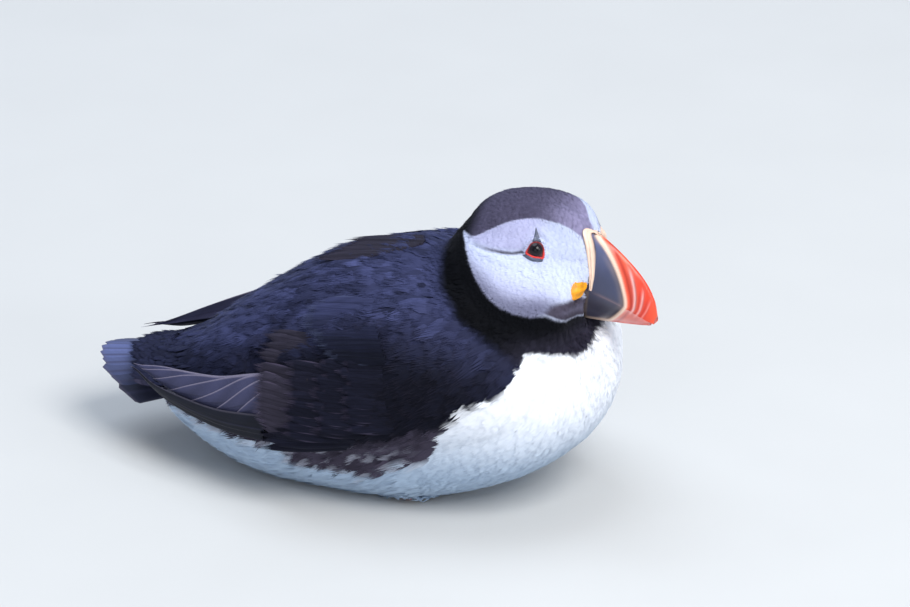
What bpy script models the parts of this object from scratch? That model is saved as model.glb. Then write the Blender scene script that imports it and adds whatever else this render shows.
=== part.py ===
"""Atlantic puffin at rest on its belly, life size, as closed solids.

The trunk lies along X with the breast towards +X. +Y is the bird's left side and +Z is up.
Driving dimensions are in millimetres, and the scene is in metres. Each function builds one
sub-part. The flesh of the head, neck and trunk is blended from a few rounded masses, parted
with thin cuts and carved where the wings, tail, legs, eyes and bill sit in it.
"""

import math

import bmesh
import bpy
import numpy as np
from mathutils import Matrix, Vector

MM = 0.001
GAP = 0.3  # clearance between neighbouring solids
SIDES = {"right": -1.0, "left": 1.0}

# Trunk: x, height of back, height of belly, half width. Below z = 0 the belly is cut flat.
TRUNK_STATIONS = (
    (-108, 37, 23, 7),
    (-104, 40, 17, 17),
    (-92, 48.5, 8, 27),
    (-78, 60, 1, 36),
    (-60, 73, -4.5, 43),
    (-40, 85.5, -6.5, 47),
    (-18, 92.5, -7, 50),
    (5, 94, -5, 51),
    (28, 92, 2, 49),
    (48, 88, 11.5, 43),
    (61.5, 82, 22, 34),
    (70.5, 73, 33, 22),
    (75, 57, 46, 5),
)
TRUNK_WIDEST = 0.46  # share of the section's height where it is widest
TRUNK_POWER = 2.25  # 2 is an ellipse, more is squarer

# Head, in its own axes: x forward from the gape, z up from the line where the bill closes.
HEAD_STATIONS = (
    (-52, 11, 0, 3),
    (-49, 17, -5, 9.5),
    (-43.5, 22.7, -10, 15.5),
    (-35, 27.2, -13, 20),
    (-27, 29.1, -14.2, 21.5),
    (-18, 29.6, -14.9, 20.5),
    (-10, 28.6, -15, 16.5),
    (-3, 26.8, -14.4, 11.3),
    (2, 24, -12.6, 7.6),
)
HEAD_WIDEST = 0.4
HEAD_POWER = 2.15
HEAD_PLACE = (61.5, -3, 86.3)  # the gape's midpoint
HEAD_TURN = -11  # degrees about Z, towards the right side
HEAD_DIP = 12  # degrees that the bill points down

# Neck: one egg-shaped mass between shoulders and head.
NECK_CENTRE = (39, 0, 83)
NECK_RADII = (35.5, 31.5, 24)
NECK_DIP = 22.6
NECK_RING_CENTRE = (39.5, 0, 80)  # a point of the cut between neck and trunk
NAPE_CUT_CENTRE = (38, 0, 90)  # a point of the cut between head and neck
NAPE_CUT_DIP = 24

# Shoulder feathers that lie over the top of each wing.
SCAPULAR_CENTRE = (-3, 33, 70)
SCAPULAR_RADII = (40, 11, 17)
SCAPULAR_TURN = -10
SCAPULAR_DIP = -14

# Hollow that keeps neck and breast clear of the bill, in the head's axes.
THROAT_START = 0.5
THROAT_FLOOR = -14.5

BLEND_VOXEL = 3.0
BLEND_SMOOTHING = 7
BLEND_KEEP = 0.12  # share of the blend's triangles that the decimation keeps

# Folded wing: x, height of upper edge, height of lower edge, how far it stands off the trunk.
WING_STATIONS = (
    (55, 66, 57, 0.5),
    (47, 73, 46, 1.8),
    (30, 78, 38, 3.2),
    (8, 80, 33, 4.0),
    (-14, 79, 29, 4.4),
    (-34, 74, 27, 4.6),
    (-50, 66, 27, 4.4),
    (-61, 55, 31, 3.4),
)
WING_SUNK = 3.0  # depth of the wing's inner face below the trunk's surface
WING_EDGE = 0.7

# Long primary feathers: x, distance from the midline, upper and lower edge, thickness.
PRIMARY_STATIONS = {
    "right": (
        (-40, 48.5, 57, 30, 3.4),
        (-55, 46.5, 53.5, 28, 3.0),
        (-72, 41.0, 47.5, 27.5, 2.4),
        (-90, 33.5, 44, 29.5, 1.8),
        (-103, 27.5, 42, 33.5, 1.4),
        (-112, 23.5, 40.5, 38.5, 1.0),
    ),
    "left": (
        (-40, 48.5, 58, 30, 3.4),
        (-56, 48.0, 56.5, 28, 3.0),
        (-74, 44.0, 50.5, 28, 2.4),
        (-94, 34.0, 44.2, 29.5, 1.8),
        (-111, 22.5, 39.2, 31.5, 1.4),
        (-123, 16.5, 36.4, 34.6, 1.0),
    ),
}
PRIMARY_LEAN = 0.20  # outward lean of the blade towards its lower edge
PRIMARY_TOP_BOW = 1.2  # how far the blade bulges outwards between its edges

# Tail fan.
TAIL_ROOT_X = -84
TAIL_TIP_X = -133.5
TAIL_ROOT_HALF_WIDTH = 13
TAIL_TIP_HALF_WIDTH = 22
TAIL_ROOT_HEIGHT = 39
TAIL_TIP_HEIGHT = 32.5
TAIL_THICK_ROOT = 6.0
TAIL_THICK_TIP = 1.4
TAIL_ROUNDING = 19.0  # how much shorter the outer feathers are
TAIL_ARCH = 7.5  # drop of the fan's sides below its middle
TAIL_ROLL = 6  # degrees that the fan's left side is raised
TAIL_FEATHERS = 12
TAIL_SCALLOP = 1.0

# Bill, in the head's axes: x, top of the upper half, foot of the lower half, half width.
BILL_STATIONS = (
    (-4.5, 24.0, -13.2, 6.9),
    (0, 22.8, -12.9, 6.7),
    (5, 21.2, -11.6, 6.2),
    (10, 19.0, -10.1, 5.6),
    (15, 16.4, -8.6, 4.9),
    (20, 13.2, -7.0, 4.2),
    (24, 9.6, -5.6, 3.5),
    (27, 5.6, -4.4, 2.7),
    (29.2, 0.4, -3.6, 1.7),
)
LOWER_BILL_END = 27.5
BILL_POWER = 1.7
TOMIUM_DROP = 2.4  # how far the closing line of the bill falls at the tip
BILL_GROOVES = (18.0, 21.5, 25.0)  # where the grooves cross the closing line
BILL_RIDGE = 13.0  # where the pale ridge crosses it

EYE_PLACE = (-17.2, 16.0, 15.5)
EYE_RADIUS = 3.9
PLATE_SUNK = 1.2
PLATE_PROUD = 0.5
ROSETTE_PLACE = (0.9, 11.0, 3.4)
ROSETTE_RADII = (4.4, 2.3, 3.4)
ROSETTE_TURN = 73  # degrees, so that it lies on the front slope of the cheek

# Legs: the shank lies flat behind the webbed foot, all of it under the belly.
LEG_X = -32  # where the toes leave the shank
LEG_Y = 13.5
LEG_SPLAY = 3  # degrees that the foot turns out
SHANK_LENGTH = 25
SHANK_RADIUS = 2.4
TOE_LENGTHS = (29, 35, 31)
TOE_ANGLES = (20, 1, -18)
TOE_RADIUS = 1.9
CLAW_LENGTH = 6.0
WEB_THICKNESS = 1.3
WEB_HEIGHT = 0.08  # of the web's sole above the floor
WEB_SCALLOP = 0.8  # share of the toes' length that the web reaches between them

COLOURS = {
    "plumage_black": ((0.018, 0.018, 0.026), 0.75),
    "plumage_white": ((0.86, 0.87, 0.90), 0.8),
    "plumage_grey": ((0.55, 0.56, 0.60), 0.8),
    "wing_feathers": ((0.022, 0.021, 0.028), 0.6),
    "bill_orange": ((0.80, 0.08, 0.02), 0.3),
    "eye": ((0.03, 0.015, 0.01), 0.08),
    "eye_plate": ((0.20, 0.23, 0.30), 0.45),
    "rosette": ((0.85, 0.42, 0.02), 0.5),
    "leg_skin": ((0.80, 0.16, 0.02), 0.5),
}


def clear_scene():
    """Removes every object, the startup ones included."""
    for obj in list(bpy.data.objects):
        bpy.data.objects.remove(obj)


def finish_of(name):
    """The material with one of the names in COLOURS, made once."""
    found = bpy.data.materials.get(name)
    if found:
        return found
    colour, roughness = COLOURS[name]
    made = bpy.data.materials.new(name)
    made.use_nodes = True
    shader = made.node_tree.nodes["Principled BSDF"]
    shader.inputs["Base Color"].default_value = (*colour, 1.0)
    shader.inputs["Roughness"].default_value = roughness
    shader.inputs["Metallic"].default_value = 0.0
    return made


def add_object(name, mesh, finish):
    """An object in the scene for a mesh, with its finish and smooth shading."""
    mesh.materials.clear()
    mesh.materials.append(finish_of(finish))
    mesh.shade_smooth()
    mesh.set_sharp_from_angle(angle=math.radians(50))
    obj = bpy.data.objects.new(name, mesh)
    bpy.context.scene.collection.objects.link(obj)
    return obj


def mesh_from(points, faces):
    """A closed mesh from points in millimetres, with its faces turned outwards."""
    mesh = bpy.data.meshes.new("solid")
    mesh.from_pydata([tuple(float(c) * MM for c in p) for p in points], [], faces)
    sheet = bmesh.new()
    sheet.from_mesh(mesh)
    bmesh.ops.remove_doubles(sheet, verts=sheet.verts, dist=0.01 * MM)
    bmesh.ops.recalc_face_normals(sheet, faces=sheet.faces)
    sheet.to_mesh(mesh)
    sheet.free()
    return mesh


def smooth_rows(stations, at):
    """Rows of a table read between its stations on a smooth curve through them.

    The first column is the place along the length, and at holds the places to read.
    """
    table = np.array(sorted(stations), float)
    place, values = table[:, 0], table[:, 1:]
    slope = np.gradient(values, place, axis=0)
    at = np.asarray(at, float)
    cell = np.clip(np.searchsorted(place, at) - 1, 0, len(place) - 2)
    width = (place[cell + 1] - place[cell])[:, None]
    t = (at - place[cell])[:, None] / width
    low, high = values[cell], values[cell + 1]
    return (
        low * (1 + 2 * t) * (1 - t) ** 2
        + high * t * t * (3 - 2 * t)
        + width * t * (1 - t) * (slope[cell] * (1 - t) - slope[cell + 1] * t)
    )


def egg_section(top, foot, half_width, widest, power, segments):
    """Points of one closed section as (y, z), an egg whose widest level is a share of its height."""
    level = foot + widest * (top - foot)
    angle = np.linspace(0, 2 * math.pi, segments, endpoint=False)
    c, s = np.cos(angle), np.sin(angle)
    y = half_width * np.sign(c) * np.abs(c) ** (2 / power)
    reach = np.where(s > 0, top - level, level - foot)
    z = level + reach * np.sign(s) * np.abs(s) ** (2 / power)
    return y, z


def rings_to_mesh(rings):
    """A closed mesh from equal rings of points, with a flat cap on each end."""
    count = len(rings[0])
    points = [p for ring in rings for p in ring]
    faces = []
    for r in range(len(rings) - 1):
        for i in range(count):
            j = (i + 1) % count
            faces.append((r * count + i, r * count + j, (r + 1) * count + j, (r + 1) * count + i))
    faces.append(tuple(range(count)))
    faces.append(tuple(len(points) - count + i for i in range(count)))
    return mesh_from(points, faces)


def lofted(stations, widest, power, rings, segments):
    """A closed egg-sectioned mass through stations of (x, top, foot, half width)."""
    places = np.linspace(stations[0][0], stations[-1][0], rings)
    made = []
    for x, (top, foot, half_width) in zip(places, smooth_rows(stations, places)):
        y, z = egg_section(top, foot, half_width, widest, power, segments)
        made.append([(x, b, c) for b, c in zip(y, z)])
    return rings_to_mesh(made)


def ellipsoid(centre, radii, turn=0.0, dip=0.0, rings=12, segments=20):
    """An ellipsoid, turned about Z and then dipped about its own Y, in degrees."""
    ball = bmesh.new()
    bmesh.ops.create_uvsphere(ball, u_segments=segments, v_segments=rings, radius=1.0)
    place = Matrix.Translation(Vector(centre) * MM)
    spin = Matrix.Rotation(math.radians(turn), 4, "Z") @ Matrix.Rotation(math.radians(dip), 4, "Y")
    size = Matrix.Diagonal((*(r * MM for r in radii), 1.0))
    bmesh.ops.transform(ball, matrix=place @ spin @ size, verts=ball.verts)
    mesh = bpy.data.meshes.new("ellipsoid")
    ball.to_mesh(mesh)
    ball.free()
    return mesh


def head_axes():
    """The matrix from the head's axes, in metres, to the bird's."""
    return (
        Matrix.Translation(Vector(HEAD_PLACE) * MM)
        @ Matrix.Rotation(math.radians(HEAD_TURN), 4, "Z")
        @ Matrix.Rotation(math.radians(HEAD_DIP), 4, "Y")
    )


def in_head(mesh):
    """The same mesh, moved from the head's axes to the bird's."""
    mesh.transform(head_axes())
    return mesh


def modified(mesh, settings):
    """The mesh that a list of (modifier type, settings) makes of this one."""
    obj = bpy.data.objects.new("work", mesh)
    bpy.context.scene.collection.objects.link(obj)
    for kind, values in settings:
        modifier = obj.modifiers.new(kind.title(), kind)
        for key, value in values.items():
            setattr(modifier, key, value)
    graph = bpy.context.evaluated_depsgraph_get()
    made = bpy.data.meshes.new_from_object(obj.evaluated_get(graph))
    bpy.data.objects.remove(obj)
    return made


def joined(meshes):
    """Several closed meshes in one, still as separate shells."""
    together = bmesh.new()
    for mesh in meshes:
        together.from_mesh(mesh)
    made = bpy.data.meshes.new("joined")
    together.to_mesh(made)
    together.free()
    return made


def combined(mesh, other, operation):
    """The Boolean of two meshes, with the solver for closed meshes."""
    tool = bpy.data.objects.new("tool", other)
    bpy.context.scene.collection.objects.link(tool)
    made = modified(mesh, [("BOOLEAN", {"operation": operation, "solver": "MANIFOLD", "object": tool})])
    bpy.data.objects.remove(tool)
    return made


def swollen(mesh, by):
    """A copy of a mesh with its faces moved outwards by a distance in millimetres."""
    bigger = bmesh.new()
    bigger.from_mesh(mesh)
    bmesh.ops.triangulate(bigger, faces=bigger.faces)
    bigger.normal_update()
    for vert in bigger.verts:
        vert.co += vert.normal * (by * MM * min(vert.calc_shell_factor(), 2.0))
    made = bpy.data.meshes.new("swollen")
    bigger.to_mesh(made)
    bigger.free()
    return made


def carved(mesh, pieces):
    """A mesh with a close-fitting hollow for each piece that sits in it."""
    for piece in pieces:
        mesh = combined(mesh, swollen(piece, GAP), "DIFFERENCE")
    return largest_piece(mesh)


def largest_piece(mesh):
    """The largest piece of a mesh, without the loose slivers that a carving leaves."""
    whole = bmesh.new()
    whole.from_mesh(mesh)
    left, groups = set(whole.faces), []
    while left:
        group, waiting = set(), [left.pop()]
        while waiting:
            face = waiting.pop()
            group.add(face)
            fresh = {f for edge in face.edges for f in edge.link_faces} & left
            left -= fresh
            waiting.extend(fresh)
        groups.append(group)
    groups.sort(key=len)
    loose = [face for group in groups[:-1] for face in group]
    bmesh.ops.delete(whole, geom=loose, context="FACES")
    made = bpy.data.meshes.new("largest")
    whole.to_mesh(made)
    whole.free()
    return made


def kept_below(mesh, point, normal):
    """The part of a mesh on the far side of a plane from its normal, closed with a flat face."""
    cut = bmesh.new()
    cut.from_mesh(mesh)
    bmesh.ops.bisect_plane(
        cut,
        geom=cut.verts[:] + cut.edges[:] + cut.faces[:],
        dist=0.001 * MM,
        plane_co=Vector(point) * MM,
        plane_no=Vector(normal),
        clear_outer=True,
    )
    bmesh.ops.holes_fill(cut, edges=[e for e in cut.edges if e.is_boundary])
    bmesh.ops.recalc_face_normals(cut, faces=cut.faces)
    made = bpy.data.meshes.new("cut")
    cut.to_mesh(made)
    cut.free()
    return made


def shoulder_lobe(side, rings, segments):
    """The mass of shoulder feathers that lies over the top of one wing."""
    x, y, z = SCAPULAR_CENTRE
    turn = side * SCAPULAR_TURN
    return ellipsoid((x, side * y, z), SCAPULAR_RADII, turn, SCAPULAR_DIP, rings, segments)


def throat_hollow():
    """The room that the bill takes up over the breast, as a cutter for the flesh."""
    reach = 60
    section = [(-reach, THROAT_FLOOR), (-reach, reach), (reach, reach), (reach, THROAT_FLOOR)]
    rings = [[(x, y, z) for y, z in section] for x in (THROAT_START, THROAT_START + reach)]
    return in_head(rings_to_mesh(rings))


def blended_flesh():
    """Head, neck and trunk as one smooth closed mesh, flat under the belly."""
    masses = [
        lofted(TRUNK_STATIONS, TRUNK_WIDEST, TRUNK_POWER, rings=40, segments=36),
        ellipsoid(NECK_CENTRE, NECK_RADII, dip=NECK_DIP, rings=20, segments=32),
    ]
    masses = [combined(mass, throat_hollow(), "DIFFERENCE") for mass in masses]
    masses.append(in_head(lofted(HEAD_STATIONS, HEAD_WIDEST, HEAD_POWER, rings=26, segments=32)))
    masses += [shoulder_lobe(side, rings=16, segments=24) for side in SIDES.values()]
    blend = modified(
        joined(masses),
        [
            ("REMESH", {"mode": "VOXEL", "voxel_size": BLEND_VOXEL * MM}),
            ("SMOOTH", {"factor": 0.5, "iterations": BLEND_SMOOTHING}),
            ("DECIMATE", {"ratio": BLEND_KEEP}),
        ],
    )
    return kept_below(blend, (0, 0, 0), (0, 0, -1))


def side_of(stations, widest, power, x, z):
    """Half width of a lofted mass at a length and a height, from its own sections."""
    top, foot, half_width = smooth_rows(stations, [x])[0]
    level = foot + widest * (top - foot)
    reach = (top - level) if z > level else (level - foot)
    share = min(abs(z - level) / reach, 0.995)
    return half_width * (1 - share**power) ** (1 / power)


def wing_arm(side):
    """The wing's folded arm and its coverts, a shield laid on the trunk's side."""
    places = np.linspace(WING_STATIONS[0][0], WING_STATIONS[-1][0], 14)
    across = np.linspace(0, 1, 7)
    outer, inner = [], []
    for x, (top, foot, proud) in zip(places, smooth_rows(WING_STATIONS, places)):
        for share in across:
            z = foot + share * (top - foot)
            skin = side_of(TRUNK_STATIONS, TRUNK_WIDEST, TRUNK_POWER, x, z)
            swell = max(WING_EDGE, proud * math.sin(math.pi * share) ** 0.6)
            outer.append((x, side * (skin + swell), z))
            inner.append((x, side * (skin - WING_SUNK), z))
    return shell(outer, inner, len(places), len(across))


def shell(outer, inner, rows, columns):
    """A closed solid between two equal grids of points."""
    count = rows * columns
    faces = []
    for r in range(rows - 1):
        for c in range(columns - 1):
            a, b = r * columns + c, r * columns + c + 1
            d, e = a + columns, b + columns
            faces.append((a, b, e, d))
            faces.append((count + a, count + d, count + e, count + b))
    rim = [c for c in range(columns)]
    rim += [r * columns + columns - 1 for r in range(1, rows)]
    rim += [(rows - 1) * columns + c for c in range(columns - 2, -1, -1)]
    rim += [r * columns for r in range(rows - 2, 0, -1)]
    for a, b in zip(rim, rim[1:] + rim[:1]):
        faces.append((a, b, count + b, count + a))
    return mesh_from(outer + inner, faces)


def primaries(side):
    """The long flight feathers as one thin blade beyond the arm."""
    stations = PRIMARY_STATIONS["left" if side > 0 else "right"]
    places = np.linspace(stations[0][0], stations[-1][0], 11)
    across = np.linspace(0, 1, 5)
    outer, inner = [], []
    for x, row in zip(places, smooth_rows(stations, places)):
        off, top, foot, thick = row
        for share in across:
            z = foot + share * (top - foot)
            bow = PRIMARY_TOP_BOW * math.sin(math.pi * share)
            lean = PRIMARY_LEAN * (top - z) * 0.5
            half = 0.5 * thick * (0.55 + 0.45 * math.sin(math.pi * share))
            outer.append((x, side * (off + bow + lean + half), z))
            inner.append((x, side * (off + bow + lean - half), z))
    return shell(outer, inner, len(places), len(across))


def wing(side):
    """One folded wing: the arm's shield and the primaries that reach past it."""
    folded = combined(wing_arm(side), primaries(side), "UNION")
    return carved(folded, [shoulder_lobe(side, rings=10, segments=16)])


def tail():
    """The short tail fan, arched across and scalloped at its end."""
    length_steps = np.linspace(0, 1, 5)
    across = np.linspace(-1, 1, TAIL_FEATHERS * 2 + 1)
    over, under = [], []
    for along in length_steps:
        half_width = TAIL_ROOT_HALF_WIDTH + along * (TAIL_TIP_HALF_WIDTH - TAIL_ROOT_HALF_WIDTH)
        height = TAIL_ROOT_HEIGHT + along * (TAIL_TIP_HEIGHT - TAIL_ROOT_HEIGHT)
        thick = TAIL_THICK_ROOT + along * (TAIL_THICK_TIP - TAIL_THICK_ROOT)
        for share in across:
            shorter = TAIL_ROUNDING * share * share
            notch = TAIL_SCALLOP * abs(math.sin(math.pi * share * TAIL_FEATHERS / 2))
            x = TAIL_ROOT_X + along * (TAIL_TIP_X - TAIL_ROOT_X + shorter + TAIL_SCALLOP - notch)
            z = height - TAIL_ARCH * share * share
            edge = 0.5 * thick * (1 - 0.45 * share * share)
            over.append((x, share * half_width, z + edge))
            under.append((x, share * half_width, z - edge))
    fan = shell(over, under, len(length_steps), len(across))
    pivot = Matrix.Translation(Vector((0, 0, TAIL_ROOT_HEIGHT)) * MM)
    fan.transform(pivot @ Matrix.Rotation(math.radians(TAIL_ROLL), 4, "X") @ pivot.inverted())
    return fan


def tomium(x):
    """Height of the bill's closing line, in the head's axes."""
    return -TOMIUM_DROP * max(0.0, x / BILL_STATIONS[-1][0]) ** 2


def bill_relief(x, rise):
    """Change of half width where the bill has its ridge and grooves; rise is 0 at the closing line."""
    crossing = x + 9.0 * rise * rise + 3.5 * rise
    ridge = 0.35 * math.exp(-(((crossing - BILL_RIDGE) / 1.0) ** 2))
    grooves = sum(math.exp(-(((crossing - g) / 0.8) ** 2)) for g in BILL_GROOVES)
    return ridge - 0.3 * grooves


def bill_half(upper):
    """The upper or lower half of the bill, as one solid that narrows to its edge."""
    start, end = BILL_STATIONS[0][0], BILL_STATIONS[-1][0] if upper else LOWER_BILL_END
    places = np.linspace(start, end, 14)
    shares = np.linspace(0, 1, 6)
    rings = []
    for x, (top, foot, half_width) in zip(places, smooth_rows(BILL_STATIONS, places)):
        seam = tomium(x) + (0.5 if upper else -0.5) * GAP
        far = top if upper else foot
        side_points = []
        for share in shares[:-1]:
            z = seam + share * (far - seam)
            narrow = (1 - share**BILL_POWER * 0.97) ** (1 / BILL_POWER)
            y = half_width * narrow
            y += bill_relief(x, share if upper else share * 0.9) * min(1.0, 2.5 * (1 - share))
            side_points.append((x, max(y, 0.5), z))
        ring = side_points + [(x, 0.0, far)]
        ring += [(px, -py, pz) for px, py, pz in reversed(side_points)]
        rings.append(ring)
    return in_head(rings_to_mesh(rings))


def plate(outline, side):
    """A thin horny plate beside the eye, an outline of (x, z) in the head's axes."""
    face = [(x, side_of(HEAD_STATIONS, HEAD_WIDEST, HEAD_POWER, x, z), z) for x, z in outline]
    outer = [(x, side * (y + PLATE_PROUD), z) for x, y, z in face]
    inner = [(x, side * (y - PLATE_SUNK), z) for x, y, z in face]
    return carved(in_head(rings_to_mesh([outer, inner])), [eye(side)])


def upper_plate(side):
    """The blue-grey triangle that stands on the eye."""
    x, _, z = EYE_PLACE
    outline = [(x - 2.4, z + 2.6), (x + 1.8, z + 3.6), (x + 0.1, z + 5.6), (x - 1.3, z + 7.6)]
    return plate(outline, side)


def lower_plate(side):
    """The blue-grey bar under the eye."""
    x, _, z = EYE_PLACE
    outline = [(x - 5.3, z - 4.6), (x - 2.6, z - 3.8), (x + 0.8, z - 3.8), (x + 2.9, z - 2.7)]
    outline += [(x + 3.6, z - 3.9), (x + 1.4, z - 5.5), (x - 2.2, z - 5.6)]
    return plate(outline, side)


def eye(side):
    """One eyeball, as seen between the lids."""
    x, y, z = EYE_PLACE
    return in_head(ellipsoid((x, side * y, z), (EYE_RADIUS,) * 3, rings=8, segments=14))


def rosette(side):
    """The fleshy fold at the corner of the gape."""
    x, y, z = ROSETTE_PLACE
    made = ellipsoid((x, side * y, z), ROSETTE_RADII, turn=-side * ROSETTE_TURN, rings=6, segments=10)
    return in_head(made)


def tube(start, end, radius_start, radius_end, segments=7):
    """A tapered round bar between two points, with domed ends flattened at z = 0."""
    start, end = Vector(start), Vector(end)
    along = end - start
    turn = along.to_track_quat("X", "Z").to_matrix()
    rings = []
    for step in (-1, -0.85, 0.85, 1):
        near = 1 - abs(step) ** 6
        place = start + along * (step + 1) / 2
        radius = (radius_start + (radius_end - radius_start) * (step + 1) / 2) * max(near, 0.25) ** 0.5
        ring = []
        for i in range(segments):
            angle = 2 * math.pi * (i + 0.5) / segments
            offset = turn @ Vector((0, math.cos(angle) * radius, math.sin(angle) * radius))
            ring.append(tuple(place + offset))
        rings.append(ring)
    return rings_to_mesh(rings)


def on_foot(side, forward, outward, height):
    """A point of the bird, told by where it lies from the knuckle of one foot."""
    turn = Matrix.Rotation(math.radians(side * LEG_SPLAY), 3, "Z")
    return Vector((LEG_X, side * LEG_Y, 0)) + turn @ Vector((forward, side * outward, height))


def foot_hollow(side):
    """The room for one leg in the belly, a low prism round its outline, as a cutter."""
    width = SHANK_RADIUS + 1.2
    outline = [(-SHANK_LENGTH - 2.5, -width), (-SHANK_LENGTH - 2.5, width), (0, width)]
    for length, angle, swing in zip(TOE_LENGTHS, TOE_ANGLES, (5, 0, -5)):
        reach, bearing = length + CLAW_LENGTH + 1.5, math.radians(angle + swing)
        outline.append((reach * math.cos(bearing), reach * math.sin(bearing)))
    outline.append((0, -width))
    heights = (-1.0, 2 * SHANK_RADIUS + 0.3)
    return rings_to_mesh([[on_foot(side, x, y, z) for x, y in outline] for z in heights])


def leg(side):
    """Shank, webbed foot and claws of one leg, tucked flat under the belly."""

    def ground(forward, outward, height):
        return on_foot(side, forward, outward, height)

    level = TOE_RADIUS * 0.85
    shank = tube(ground(-SHANK_LENGTH, 0, SHANK_RADIUS * 0.9), ground(1, 0, level), SHANK_RADIUS, TOE_RADIUS)
    made, rim = shank, []
    for length, angle in zip(TOE_LENGTHS, TOE_ANGLES):
        c, s = math.cos(math.radians(angle)), math.sin(math.radians(angle))
        tip = ground(length * c, length * s, level * 0.8)
        made = combined(made, tube(ground(-1, 0, level), tip, TOE_RADIUS, TOE_RADIUS * 0.8), "UNION")
        claw_end = ground((length + CLAW_LENGTH) * c, (length + CLAW_LENGTH) * s, 0.55)
        made = combined(made, tube(tip, claw_end, TOE_RADIUS * 0.6, 0.45, segments=5), "UNION")
        rim.append((length * 0.97, angle))
    outline = [ground(-2, 2.0, 0), ground(-2, -2.0, 0)]
    for (far, a), (near, b) in zip(reversed(rim[1:]), reversed(rim[:-1])):
        for share in (0.0, 0.25, 0.5, 0.75):
            reach = (far + (near - far) * share) * (1 - (1 - WEB_SCALLOP) * math.sin(math.pi * share))
            angle = math.radians(a + (b - a) * share)
            outline.append(ground(reach * math.cos(angle), reach * math.sin(angle), 0))
    last, angle = rim[0][0], math.radians(rim[0][1])
    outline.append(ground(last * math.cos(angle), last * math.sin(angle), 0))
    low = [(p.x, p.y, WEB_HEIGHT) for p in outline]
    high = [(p.x, p.y, WEB_HEIGHT + WEB_THICKNESS) for p in outline]
    made = combined(made, rings_to_mesh([low, high]), "UNION")
    return kept_below(made, (0, 0, 0), (0, 0, -1))


def dipped(angle):
    """The upward normal of a plane that falls forwards by an angle in degrees."""
    return (math.sin(math.radians(angle)), 0.0, math.cos(math.radians(angle)))


def parted(flesh):
    """The blend as three meshes, trunk, neck and head, with thin cuts between them."""
    ring, nape = Vector(dipped(NECK_DIP)), Vector(dipped(NAPE_CUT_DIP))
    ring_point, nape_point = Vector(NECK_RING_CENTRE), Vector(NAPE_CUT_CENTRE)
    trunk = kept_below(flesh, ring_point - ring * GAP / 2, ring)
    above = kept_below(flesh, ring_point + ring * GAP / 2, -ring)
    neck = kept_below(above, nape_point - nape * GAP / 2, nape)
    head = kept_below(above, nape_point + nape * GAP / 2, -nape)
    return trunk, neck, head


def centre_on_floor():
    """Moves every mesh so that the bird's box is centred on the origin and stands at z = 0."""
    objects = [o for o in bpy.context.scene.objects if o.type == "MESH"]
    points = np.array([tuple(v.co) for o in objects for v in o.data.vertices])
    low, high = points.min(axis=0), points.max(axis=0)
    shift = Matrix.Translation((-(low[0] + high[0]) / 2, -(low[1] + high[1]) / 2, -low[2]))
    for obj in objects:
        obj.data.transform(shift)


def build():
    """Makes every sub-part of the bird."""
    clear_scene()
    trunk, neck, head = parted(blended_flesh())
    fan = tail()
    upper_bill, lower_bill = bill_half(upper=True), bill_half(upper=False)
    set_in_trunk, set_in_head = [fan, lower_bill], [upper_bill, lower_bill]
    for name, side in SIDES.items():
        folded = wing(side)
        set_in_trunk.append(folded)
        trunk = combined(trunk, foot_hollow(side), "DIFFERENCE")
        add_object(f"wing_{name}", folded, "wing_feathers")
        add_object(f"leg_{name}", leg(side), "leg_skin")
        small = (
            ("eye", eye(side), "eye"),
            ("eye_plate_upper", upper_plate(side), "eye_plate"),
            ("eye_plate_lower", lower_plate(side), "eye_plate"),
            ("gape_rosette", carved(rosette(side), [upper_bill, lower_bill]), "rosette"),
        )
        for part_name, mesh, finish in small:
            set_in_head.append(mesh)
            add_object(f"{part_name}_{name}", mesh, finish)
    add_object("tail", fan, "wing_feathers")
    add_object("bill_upper", upper_bill, "bill_orange")
    add_object("bill_lower", lower_bill, "bill_orange")
    add_object("trunk", carved(trunk, set_in_trunk), "plumage_white")
    add_object("neck", carved(neck, set_in_head), "plumage_black")
    add_object("head", carved(head, set_in_head), "plumage_grey")
    centre_on_floor()


build()
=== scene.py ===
"""The looks of an Atlantic puffin at rest: skin, coat, flight feathers, bill, eyes and feet.

All points are in the row frame: +X is the way the breast faces, +Y the bird's left, +Z up.
Sizes are written in millimetres and turned into metres where a mesh is made.
"""
import sys

import logging
import math
from collections.abc import Callable
from dataclasses import dataclass, field, replace
from enum import Enum

import bmesh
import bpy
import numpy as np
from mathutils import Matrix, Vector
from mathutils.bvhtree import BVHTree


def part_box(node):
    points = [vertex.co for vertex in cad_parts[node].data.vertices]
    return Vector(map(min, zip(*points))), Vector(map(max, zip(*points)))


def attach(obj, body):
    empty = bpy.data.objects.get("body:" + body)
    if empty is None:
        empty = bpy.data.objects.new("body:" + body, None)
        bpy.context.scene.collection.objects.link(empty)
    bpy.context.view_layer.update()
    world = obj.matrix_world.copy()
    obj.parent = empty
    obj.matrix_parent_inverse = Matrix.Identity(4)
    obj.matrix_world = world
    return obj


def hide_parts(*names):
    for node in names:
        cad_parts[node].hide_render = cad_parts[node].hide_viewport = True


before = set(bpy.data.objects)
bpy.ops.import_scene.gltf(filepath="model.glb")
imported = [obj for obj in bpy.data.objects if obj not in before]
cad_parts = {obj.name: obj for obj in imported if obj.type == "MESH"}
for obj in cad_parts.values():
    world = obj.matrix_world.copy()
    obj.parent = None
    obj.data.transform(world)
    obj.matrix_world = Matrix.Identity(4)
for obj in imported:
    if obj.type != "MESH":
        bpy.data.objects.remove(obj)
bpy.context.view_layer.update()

MM = 0.001
PATCH = 0.003  # width of one tuft's patch on the bake map
BAKE_MAP = "OFBake"
VANE_MAP = "Vane"
TINT = "Tint"
FLOOR_CLEAR = 0.00015  # how far the coat stays above the floor

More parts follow.
